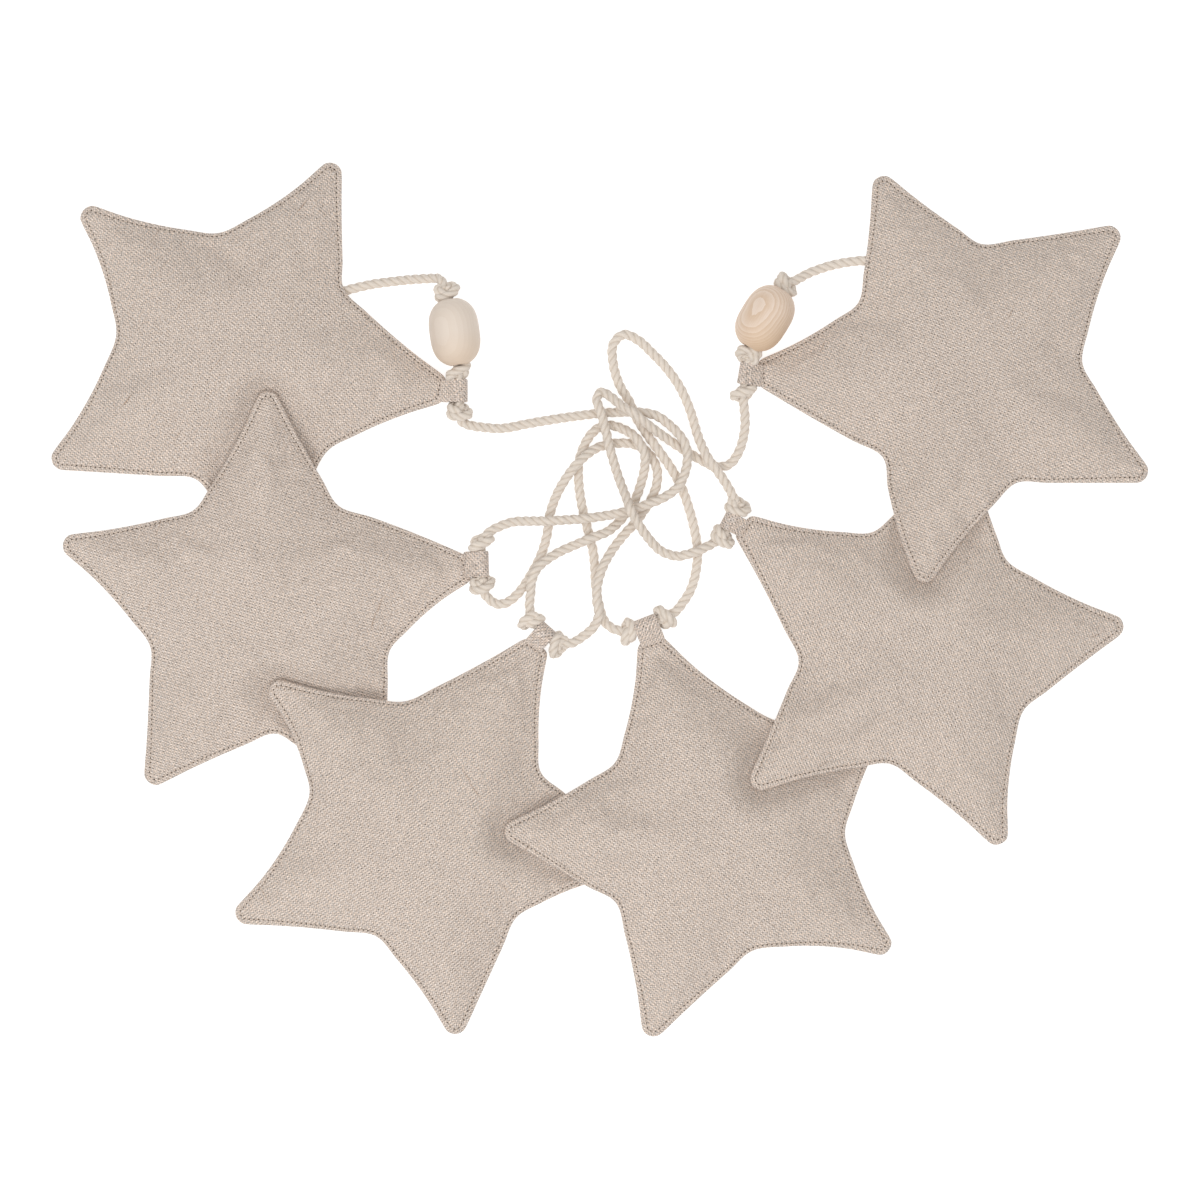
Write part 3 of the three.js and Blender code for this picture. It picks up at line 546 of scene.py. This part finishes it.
# how far in from a tip's edge each row of points runs, and how thick the star is there
EDGE_ROWS = ((0, 0), (0.0006, 0.0016), (0.0016, 0.0026), (0.003, 0.0022), (0.0044, 0.0048))
STITCH_ROW = 3
SIDE_SHARE = 0.62              # of those distances, in the valleys
ROW_KEPT = 0.93                # a row skips points nearer to the edge than this share of its own
TIP_FROM, TIP_FULL = 0.62, 0.92   # of a star's reach, where the sides pass into the tips
FILLING_PRESSURE = 4.0
SPARE_CLOTH = 0.02             # the linen is this much longer than the way over the filling
SOFTENED = 12                  # rounds that take the CAD's facets out of the cloth
FILLING_FRAMES = 20
MOST_MOVED = 0.003             # the filling moves no point of the cloth farther than this
PRESSED_IN = 0.0085            # how deep a star's arm sinks into the star below it
PRESSED_BESIDE = 0.003         # the hollow reaches this far past the arm
PRESSED_AROUND = 0.007         # and then fades out over this distance
PUSHED_UP = 0.0013             # the filling that gives way swells up a little farther out
PUSHED_AT, PUSHED_WIDTH = 1.6, 0.7   # where and how wide, counted in PRESSED_AROUND
SUNK_IN = 0.0062               # how much lower the arm itself then lies
FIRM_EDGE = 0.012              # both fade out towards the lower star's own sewn edge
# soft dents where the filling is thin or the cloth is pulled: from, to, depth and half width
DENTS = {
    "star_1": (
        ((-0.194, 0.180), (-0.174, 0.164), 0.0026, 0.007),
        ((-0.118, 0.146), (-0.112, 0.134), 0.0018, 0.005),
    ),
    "star_2": (
        ((-0.203, 0.044), (-0.197, 0.029), 0.0020, 0.006),
    ),
    "star_3": (
        ((-0.044, -0.060), (-0.037, -0.087), 0.0013, 0.004),
        ((-0.046, -0.153), (-0.056, -0.148), 0.0010, 0.004),
        ((-0.112, -0.166), (-0.108, -0.152), 0.0012, 0.005),
    ),
    "star_4": (
        ((0.028, -0.019), (0.035, -0.034), 0.0010, 0.003),
        ((0.121, -0.117), (0.106, -0.115), 0.0014, 0.005),
    ),
    "star_5": (
        ((0.210, -0.054), (0.222, -0.034), 0.0010, 0.006),
        ((0.144, -0.081), (0.147, -0.066), 0.0014, 0.005),
    ),
    "star_6": (
        ((0.240, 0.119), (0.225, 0.127), 0.0024, 0.006),
        ((0.207, 0.060), (0.200, 0.072), 0.0018, 0.005),
        ((0.130, 0.149), (0.143, 0.141), 0.0016, 0.005),
        ((0.188, 0.177), (0.193, 0.152), 0.0022, 0.007),
    ),
}


def edge_of(node):
    """The outline of a CAD star halfway up its pressed edge, counter-clockwise."""
    shape = bmesh.new()
    shape.from_mesh(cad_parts[node].data)
    bmesh.ops.remove_doubles(shape, verts=shape.verts, dist=1e-6)
    shape.normal_update()
    upright = {face for face in shape.faces if abs(face.normal.z) < UPRIGHT_BELOW}
    ways = {}
    for edge in shape.edges:
        faces = edge.link_faces
        rises = any(face.normal.z > UPRIGHT_BELOW for face in faces)
        if len(upright.intersection(faces)) == 1 and rises:
            for vert in edge.verts:
                ways.setdefault(vert, []).append(edge.other_vert(vert))
    thick = max(max(vert.co.z for vert in face.verts) - min(vert.co.z for vert in face.verts)
                for face in upright)
    first = min(ways, key=lambda vert: vert.co.x)
    line, vert, came = [first], ways[first][0], first
    while vert is not first:
        line.append(vert)
        vert, came = next(other for other in ways[vert] if other is not came), vert
    points = [point.co - UP * thick / 2 for point in line]
    shape.free()
    turned = sum(a.x * b.y - b.x * a.y for a, b in zip(points, points[1:] + points[:1]))
    return points if turned > 0 else points[::-1]


def depth_in(points, outline):
    """How far each flat point lies inside a closed outline, and less than nothing outside it."""
    start = np.array(outline)
    along = np.roll(start, -1, axis=0) - start
    away = points[:, None] - start
    share = np.clip((away * along).sum(2) / (along**2).sum(1), 0, 1)
    nearest = np.linalg.norm(away - share[..., None] * along, axis=2).min(1)
    up = (start[:, 1] <= points[:, None, 1]) != (np.roll(start[:, 1], -1) <= points[:, None, 1])
    right = start[:, 0] + along[:, 0] * away[..., 1] / np.where(along[:, 1] == 0, 1, along[:, 1])
    inside = (up & (points[:, None, 0] < right)).sum(1) % 2 == 1
    return np.where(inside, nearest, -nearest)


def cloth_points(edge):
    """The flat points of a star's cloth: rows along its edge, then an even spread inside them."""
    outline = np.array([point.to_2d() for point in edge])
    ahead = np.roll(outline, -1, axis=0) - np.roll(outline, 1, axis=0)
    inward = np.c_[-ahead[:, 1], ahead[:, 0]] / np.linalg.norm(ahead, axis=1)[:, None]
    reach = np.linalg.norm(outline - outline.mean(0), axis=1)
    tip = np.clip((reach / reach.max() - TIP_FROM) / (TIP_FULL - TIP_FROM), 0, 1)
    share = SIDE_SHARE + (1 - SIDE_SHARE) * tip
    rows = [outline]
    seam_heights = [np.array([point.z for point in edge])]
    for deepest, _ in EDGE_ROWS[1:]:
        inset = deepest * share
        row = outline + inset[:, None] * inward
        kept = depth_in(row, outline) > inset * ROW_KEPT
        rows.append(row[kept])
        seam_heights.append(seam_heights[0][kept])
    low, high = outline.min(0), outline.max(0)
    across = np.arange(low[0], high[0], CLOTH_STEP)
    upward = np.arange(low[1], high[1], CLOTH_STEP * math.sqrt(3) / 2)
    grid = np.array([(x + (i % 2) * CLOTH_STEP / 2, y)
                     for i, y in enumerate(upward) for x in across])
    rows.append(grid[depth_in(grid, rows[-1]) > 0.5 * CLOTH_STEP])
    return rows, seam_heights


def sewn_star(node):
    """A star's two cloths, joined at the edge and lying as its CAD solid does."""
    solid = BVHTree.FromObject(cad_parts[node], bpy.context.evaluated_depsgraph_get())
    edge = spaced(edge_of(node), EDGE_STEP, closed=True)
    rows, seam_heights = cloth_points(edge)
    flat = np.concatenate(rows)
    border = len(rows[0])
    loop = [(i, (i + 1) % border) for i in range(border)]
    flat_points = [Vector(point) for point in flat]
    _, _, triangles, *_ = geometry.delaunay_2d_cdt(flat_points, loop, [], 1, 1e-7)
    heights = {1: [], -1: []}
    for row, seam, (_, thick) in zip(rows, seam_heights, EDGE_ROWS):
        for side in heights:
            heights[side] += list(seam + side * thick / 2)
    for x, y in rows[-1]:
        for side in heights:
            met = solid.ray_cast(Vector((x, y, side)), Vector((0, 0, -side)))[0]
            heights[side].append(met.z)
    sewn = sum(len(row) for row in rows[:-1])

    shape = bmesh.new()
    weave = shape.verts.layers.float_vector.new("weave")
    grain = Matrix.Rotation(math.radians(-GRAIN[node]), 2)
    cloths = {}
    for side, height in heights.items():
        verts = []
        for i, point in enumerate(flat_points):
            if side < 0 and i < border:
                verts.append(cloths[1][i])
                continue
            vert = shape.verts.new((*point, height[i]))
            vert[weave] = (*(grain @ point * 1000), side)
            verts.append(vert)
        cloths[side] = verts
        for corners in triangles:
            shape.faces.new([verts[i] for i in (corners if side > 0 else corners[::-1])])
    for verts in cloths.values():
        loose = [vert for i, vert in enumerate(verts) if i >= sewn]
        for _ in range(SOFTENED):
            bmesh.ops.smooth_vert(shape, verts=loose, factor=0.5, use_axis_z=True)
    shape.verts.index_update()
    held = [vert.index for verts in cloths.values() for vert in verts[:sewn]]
    held += [vert.index for vert in cloths[-1][sewn:]]
    stitch_start = sum(len(row) for row in rows[:STITCH_ROW])
    stitched = range(stitch_start, stitch_start + len(rows[STITCH_ROW]))
    stitch_lines = [[verts[i].index for i in stitched] for verts in cloths.values()]
    star = placed(node.replace("star", "padded_star"), meshed(shape, node))
    star.vertex_groups.new(name="sewn").add(sorted(set(held)), 1, "REPLACE")
    return star, stitch_lines


def fill(star):
    """Lets the filling press the cloth out between its sewn edges."""
    cloth = star.modifiers.new("filling", "CLOTH")
    settings = cloth.settings
    settings.quality = 5
    settings.mass = 0.15
    settings.tension_stiffness = 20
    settings.compression_stiffness = 20
    settings.shear_stiffness = 8
    settings.bending_stiffness = 1.5
    settings.use_pressure = True
    settings.uniform_pressure_force = FILLING_PRESSURE
    settings.shrink_min = -SPARE_CLOTH
    settings.vertex_group_mass = "sewn"
    settings.effector_weights.gravity = 0
    cloth.point_cache.frame_start = 1
    cloth.point_cache.frame_end = FILLING_FRAMES


def places_of(mesh):
    flat = np.empty(len(mesh.vertices) * 3)
    mesh.vertices.foreach_get("co", flat)
    return flat.reshape(-1, 3)


def settle(star, filled_mesh, dents, outline, above, below):
    """Takes up the shape the filling gave, pressed down by the star above and in its dents."""
    places = places_of(star.data)
    flat = places[:, :2].copy()
    moved = places_of(filled_mesh) - places
    far = np.linalg.norm(moved, axis=1)[:, None] + 1e-9
    moved *= MOST_MOVED * np.tanh(far / MOST_MOVED) / far
    swelling = np.array([not any(group.weight for group in vert.groups)
                         for vert in star.data.vertices])
    sunk = np.zeros(len(places))
    if above is not None:
        beside = -depth_in(flat, above)
        moved *= np.clip(beside / PRESSED_AROUND, 0, 1)[:, None]
        past = (beside - PRESSED_BESIDE) / PRESSED_AROUND
        sunk += PRESSED_IN * np.exp(-np.maximum(past, 0))
        sunk -= PUSHED_UP * np.exp(-((past - PUSHED_AT) / PUSHED_WIDTH) ** 2)
    for start, end, depth, half_width in dents:
        along = np.subtract(end, start)
        share = np.clip(((flat - start) @ along) / (along @ along), 0, 1)[:, None]
        beside = np.linalg.norm(flat - start - share * along, axis=1)
        sunk += depth * np.exp(-(beside / half_width) ** 2)
    sunk *= np.clip(depth_in(flat, outline) / FIRM_EDGE, 0, 1)
    places += moved
    places[swelling, 2] -= sunk[swelling]
    if below is not None:
        places[:, 2] -= SUNK_IN * np.clip(depth_in(flat, below) / FIRM_EDGE, 0, 1)
    places[:, 2] = np.maximum(places[:, 2], LOWEST)
    star.data.vertices.foreach_set("co", places.ravel())
    star.data.update()


stars = {node: sewn_star(node) for node in GRAIN}
for star, _ in stars.values():
    fill(star)
for moment in range(1, FILLING_FRAMES + 1):
    scene.frame_set(moment)
filled = bpy.context.evaluated_depsgraph_get()
shapes = {node: bpy.data.meshes.new_from_object(star.evaluated_get(filled))
          for node, (star, _) in stars.items()}
outlines = [[point.to_2d() for point in edge_of(node)] for node in stars]
for i, (node, (star, _)) in enumerate(stars.items()):
    star.modifiers.clear()
    around = [*outlines, None]
    settle(star, shapes[node], DENTS[node], outlines[i], around[i + 1], around[i - 1])

linen = natural_linen()
for node, (star, _) in stars.items():
    smoother = star.modifiers.new("smoother", "SUBSURF")
    smoother.levels = smoother.render_levels = 1
    star.data.materials.append(linen)
    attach(star, "root")
    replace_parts(star, node)


# --- Topstitching -------------------------------------------------------------------------------
# One line of sewing in linen-coloured thread runs round each star, 3 mm in from its edge at the
# tips and 2 mm along the sides. It closes the turned star and shows on both faces as short
# stitches between needle pricks, each drawn as a dark dot of painted shade.

STITCH_LENGTH = 0.0024
STITCH_SHARE = 0.8             # of its length that a stitch shows between two pricks
THREAD_DIAMETER = 0.0004
PRICK_DIAMETER = 0.00115
PRICK_DEPTH = 0.00022
THREAD_RAISED = 0.12           # of its diameter: the rest of its upper half lies in the cloth
FEEL_FROM = 0.002              # how far off the cloth's surface is felt for


def plain(name, colour, roughness):
    material, tree = new_material(name)
    feed(tree, "Principled BSDF", {"Base Color": (*colour, 1), "Roughness": roughness,
                                   "Specular IOR Level": 0.15})
    return material


sewing_thread = plain("sewing_thread", (0.60, 0.51, 0.43), 0.8)
# the dark dots at the needle holes are painted shade: small cones in a near-black colour
painted_prick_shade = plain("painted_prick_shade", (0.11, 0.08, 0.06), 0.95)


def small_shape(make, **sizes):
    shape = bmesh.new()
    make(shape, **sizes)
    corners = np.array([vert.co for vert in shape.verts])
    faces = [[vert.index for vert in face.verts] for face in shape.faces]
    shape.free()
    return corners, faces


stitch_shape = small_shape(bmesh.ops.create_uvsphere, u_segments=6, v_segments=3, radius=1)
prick_shade_shape = small_shape(bmesh.ops.create_cone, segments=6, cap_ends=True,
                          radius1=1, radius2=0.6, depth=1)


def topstitch(node, star, lines):
    """The stitches of a star's sewing line on its two faces, sunk a little into the cloth."""
    cloth = BVHTree.FromObject(star, bpy.context.evaluated_depsgraph_get())
    corners, faces, slots = [], [], []

    def put(small, place, size, slot):
        first = len(corners)
        place = np.array(place @ Matrix.Diagonal((*size, 1)))
        corners.extend(small[0] @ place[:3, :3].T + place[:3, 3])
        faces.extend([first + i for i in face] for face in small[1])
        slots.extend([slot] * len(small[1]))

    for side, line in zip((1, -1), lines):
        holes = []
        for point in spaced([star.data.vertices[i].co for i in line], STITCH_LENGTH, closed=True):
            feel_at = Vector((point.x, point.y, point.z + side * FEEL_FROM))
            holes.append(cloth.ray_cast(feel_at, Vector((0, 0, -side)))[0] or point)
        for start, end in zip(holes, holes[1:] + holes[:1]):
            along = end - start
            raised = UP * side * THREAD_DIAMETER * THREAD_RAISED
            lie = Matrix.Translation((start + end) / 2 + raised)
            lie = lie @ along.to_track_quat("X", "Z").to_matrix().to_4x4()
            half = along.length * STITCH_SHARE / 2
            put(stitch_shape, lie, (half, THREAD_DIAMETER / 2, THREAD_DIAMETER / 2), 0)
            # a dark dot of painted shade where the needle went through the cloth
            put(prick_shade_shape, Matrix.Translation(start),
                (PRICK_DIAMETER / 2, PRICK_DIAMETER / 2, PRICK_DEPTH), 1)
    mesh = bpy.data.meshes.new(node)
    mesh.from_pydata(corners, [], faces)
    mesh.polygons.foreach_set("material_index", slots)
    mesh.polygons.foreach_set("use_smooth", [True] * len(slots))
    mesh.materials.append(sewing_thread)
    mesh.materials.append(painted_prick_shade)
    stitches = placed(node.replace("star", "topstitching"), mesh)
    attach(stitches, "root")


for node, (star, lines) in stars.items():
    topstitch(node, star, lines)


# --- Tabs ---------------------------------------------------------------------------------------
# A narrow linen band is folded round the cord and sewn into each star's tip, so the star hangs
# from it. It is two layers thick, with its long edges turned in.

BAND_THICKNESS = 0.0011
BAND_RADIUS = 0.0035           # from the cord's middle to the middle of the band
BAND_ROOT_HALF = 0.0004
SEWN_IN = 0.003                # how far the band runs in between the star's two cloths
BAND_STEPS = 8
BAND_TURN_STEPS = 18
BAND_PAST_HALF = math.radians(35)   # how far past half a turn it follows the cord, on each side
BAND_BEND = 0.45               # it bends once more, this share of the way to its root
BAND_DIP = 0.05                # it is this share flatter midway between its long edges
BIAS_THREADS = 700             # it is cut at 45 degrees to the weave, which counts in millimetres
TABS = {                       # the cord's middle and heading in it, the band's width and reach
    "tab_1": ((-0.0706, 0.1047, 0.0072), 90, 0.0116, 0.0075),
    "tab_2": ((-0.0601, 0.018, 0.0052), 91.4, 0.013, 0.0058),
    "tab_3": ((-0.0281, -0.0164, 0.0052), 138.5, 0.010, 0.0072),
    "tab_4": ((0.0228, -0.0125, 0.0052), -158.8, 0.0126, 0.0082),
    "tab_5": ((0.0648, 0.0392, 0.0052), -116.9, 0.0092, 0.0064),
    "tab_6": ((0.0729, 0.1133, 0.0072), -99.6, 0.011, 0.0058),
}

for node, (middle, heading, width, reach) in TABS.items():
    turn = Matrix.Rotation(math.radians(heading) - math.pi / 2, 4, "Z")
    sewn_at = Vector(middle) - turn @ Vector((reach, 0, 0))
    seam = min(edge_of(node.replace("tab", "star")), key=lambda point: (point - sewn_at).length)
    shape = bmesh.new()
    weave = shape.verts.layers.float_vector.new("weave")
    start = shape.verts.new((0, 0, BAND_RADIUS))
    bmesh.ops.rotate(shape, verts=[start], cent=(0, 0, 0),
                     matrix=Matrix.Rotation(-BAND_PAST_HALF, 3, "Y"))
    spun = bmesh.ops.spin(shape, geom=[start], cent=(0, 0, 0), axis=(0, 1, 0), dvec=(0, 0, 0),
                          angle=math.pi + 2 * BAND_PAST_HALF, steps=BAND_TURN_STEPS,
                          use_merge=False, use_duplicate=False)
    last = next(part for part in spun["geom_last"] if isinstance(part, bmesh.types.BMVert))
    for end, side in ((start, 1), (last, -1)):
        for share in (BAND_BEND, 1.0):
            grown = bmesh.ops.extrude_vert_indiv(shape, verts=[end])["verts"][0]
            root = Vector((-reach - SEWN_IN, 0, side * BAND_ROOT_HALF + seam.z - middle[2]))
            grown.co = end.co.lerp(root, share)
            end = grown
    profile = list(shape.edges)
    bmesh.ops.translate(shape, verts=shape.verts, vec=(0, -width / 2, 0))
    for _ in range(BAND_STEPS):
        grown = bmesh.ops.extrude_edge_only(shape, edges=profile)["geom"]
        profile = [part for part in grown if isinstance(part, bmesh.types.BMEdge)]
        verts = [part for part in grown if isinstance(part, bmesh.types.BMVert)]
        bmesh.ops.translate(shape, verts=verts, vec=(0, width / BAND_STEPS, 0))
    bmesh.ops.recalc_face_normals(shape, faces=shape.faces)
    for vert in shape.verts:
        around = math.atan2(vert.co.x, vert.co.z) * BAND_RADIUS if vert.co.x > 0 else vert.co.x
        vert[weave] = ((around + vert.co.y) * BIAS_THREADS, (around - vert.co.y) * BIAS_THREADS,
                       heading)
        vert.co.z *= 1 - BAND_DIP * math.cos(math.pi * vert.co.y / width)
    bmesh.ops.transform(shape, matrix=Matrix.Translation(middle) @ turn, verts=shape.verts)
    band = placed(node.replace("tab", "linen_tab"), meshed(shape, node))
    band.data.materials.append(linen)
    layers = band.modifiers.new("layers", "SOLIDIFY")
    layers.thickness = BAND_THICKNESS
    layers.offset = 0
    softer = band.modifiers.new("softer", "SUBSURF")
    softer.levels = softer.render_levels = 2
    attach(band, "root")
    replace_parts(band, node)


# --- Wooden beads -------------------------------------------------------------------------------
# Two barrel-shaped beads, turned from plain unvarnished wood and drilled through. One is pale and
# straight-grained; the other is warmer, cut across the curved growth rings.

BEAD_RADIUS = 0.0125
BEAD_HALF_LENGTH = 0.0165
BEAD_CLOSING = 0.0172          # where the barrel's curve would close if its ends were not flat
BEAD_FULLNESS = 3.0
BEAD_BORE = 0.003
BEAD_STEPS, BEAD_TURNS = 20, 48
RIM_SHARPNESS, RIM_ROUNDING = 0.6, 0.0005
BEADS = {
    # the "warm" colour of each bead is painted shade, laid on towards one side of the bead
    "bead_1": {
        "middle": (-0.073, 0.1337, 0.01255), "heading": 97.9, "finish": "pale_wood",
        "early": (0.79, 0.69, 0.60, 1), "late": (0.755, 0.65, 0.555, 1),
        "warm": (0.74, 0.58, 0.44, 1), "painted_shade_towards": (0.1, -1.0, 0),
        "ring_scale": 170, "tree_middle": (-0.03, 0, 0.05), "lean": 0.02,
    },
    "bead_2": {
        "middle": (0.0819, 0.1406, 0.01255), "heading": 58.1, "finish": "warm_wood",
        "early": (0.83, 0.69, 0.585, 1), "late": (0.69, 0.505, 0.355, 1),
        "warm": (0.70, 0.49, 0.31, 1), "painted_shade_towards": (0.7, -0.7, 0),
        "ring_scale": 240, "tree_middle": (-0.015, 0, 0.0255), "lean": 0.06,
    },
}


def turned_wood(bead):
    material, tree = new_material(bead["finish"] + "_grain")
    place = shade(tree, "TexCoord", "Object", {})
    turned = shade(tree, "Mapping", "Vector", {
        "Vector": place, "Location": bead["middle"],
        "Rotation": (0, 0, math.radians(bead["heading"]) - math.pi / 2),
    }, vector_type="TEXTURE")
    # growth rings round the tree's own middle, off to one side of the bead
    shifted = shade(tree, "Mapping", "Vector", {
        "Vector": turned, "Location": bead["tree_middle"], "Rotation": (bead["lean"], 0.0, 0.0),
    })
    rings = shade(tree, "TexWave", "Fac", {
        "Vector": shifted, "Scale": bead["ring_scale"], "Distortion": 1.2, "Detail": 2.0,
        "Detail Scale": 0.8,
    }, wave_type="RINGS", rings_direction="Y", wave_profile="SAW")
    # fine fibres along the grain
    stretch = shade(tree, "VectorMath", 0, {0: turned, 1: (2200, 160, 2200)}, operation="MULTIPLY")
    fibres = shade(tree, "TexNoise", "Fac", {"Vector": stretch, "Scale": 1.0, "Detail": 3.0})
    grain = shade(tree, "Mix", "Result", {"Factor": 0.5, "A": rings, "B": fibres})
    colour = shade(tree, "Mix", "Result", {
        "Factor": spread(tree, grain, 0.25, 0.85), "A": bead["early"], "B": bead["late"],
    }, data_type="RGBA")
    # painted shade: the wood turns darker and warmer towards one side of the bead
    along = shade(tree, "VectorMath", "Value", {0: turned, 1: bead["painted_shade_towards"]},
                  operation="DOT_PRODUCT")
    painted_shade_share = spread(tree, along, 0.0, BEAD_HALF_LENGTH, 0.0, 0.75)
    ends = shade(tree, "Mix", "Result", {"Factor": painted_shade_share, "A": colour, "B": bead["warm"]},
                 data_type="RGBA")
    feed(tree, "Principled BSDF", {
        "Base Color": ends, "Roughness": 0.5, "Specular IOR Level": 0.35,
        "Normal": shade(tree, "Bump", "Normal",
                        {"Height": fibres, "Strength": 0.15, "Distance": 0.0001}),
    })
    return material


for node, bead in BEADS.items():
    shape = bmesh.new()
    corner = shape.verts.new((BEAD_BORE, -BEAD_HALF_LENGTH, 0))
    first = corner
    for i in range(BEAD_STEPS + 1):
        along = BEAD_HALF_LENGTH * math.sin((i / BEAD_STEPS - 0.5) * math.pi)
        round_off = 1 - abs(along / BEAD_CLOSING) ** BEAD_FULLNESS
        corner = bmesh.ops.extrude_vert_indiv(shape, verts=[corner])["verts"][0]
        corner.co = (BEAD_RADIUS * round_off**0.5, along, 0)
    corner = bmesh.ops.extrude_vert_indiv(shape, verts=[corner])["verts"][0]
    corner.co = (BEAD_BORE, BEAD_HALF_LENGTH, 0)
    shape.edges.new((corner, first))
    bmesh.ops.spin(shape, geom=list(shape.verts) + list(shape.edges), cent=(0, 0, 0),
                   axis=(0, 1, 0), dvec=(0, 0, 0), angle=2 * math.pi, steps=BEAD_TURNS,
                   use_merge=True, use_duplicate=False)
    bmesh.ops.remove_doubles(shape, verts=shape.verts, dist=1e-6)
    bmesh.ops.recalc_face_normals(shape, faces=shape.faces)
    rims = [edge for edge in shape.edges
            if len(edge.link_faces) == 2 and edge.calc_face_angle() > RIM_SHARPNESS]
    bmesh.ops.bevel(shape, geom=rims, offset=RIM_ROUNDING, affect="EDGES", segments=3, profile=0.5,
                    material=-1)
    turn = Matrix.Rotation(math.radians(bead["heading"]) - math.pi / 2, 4, "Z")
    bmesh.ops.transform(shape, matrix=Matrix.Translation(bead["middle"]) @ turn, verts=shape.verts)
    wooden = placed(node.replace("bead", "wooden_bead"), meshed(shape, node))
    wooden.data.materials.append(turned_wood(bead))
    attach(wooden, "root")
    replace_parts(wooden, node)
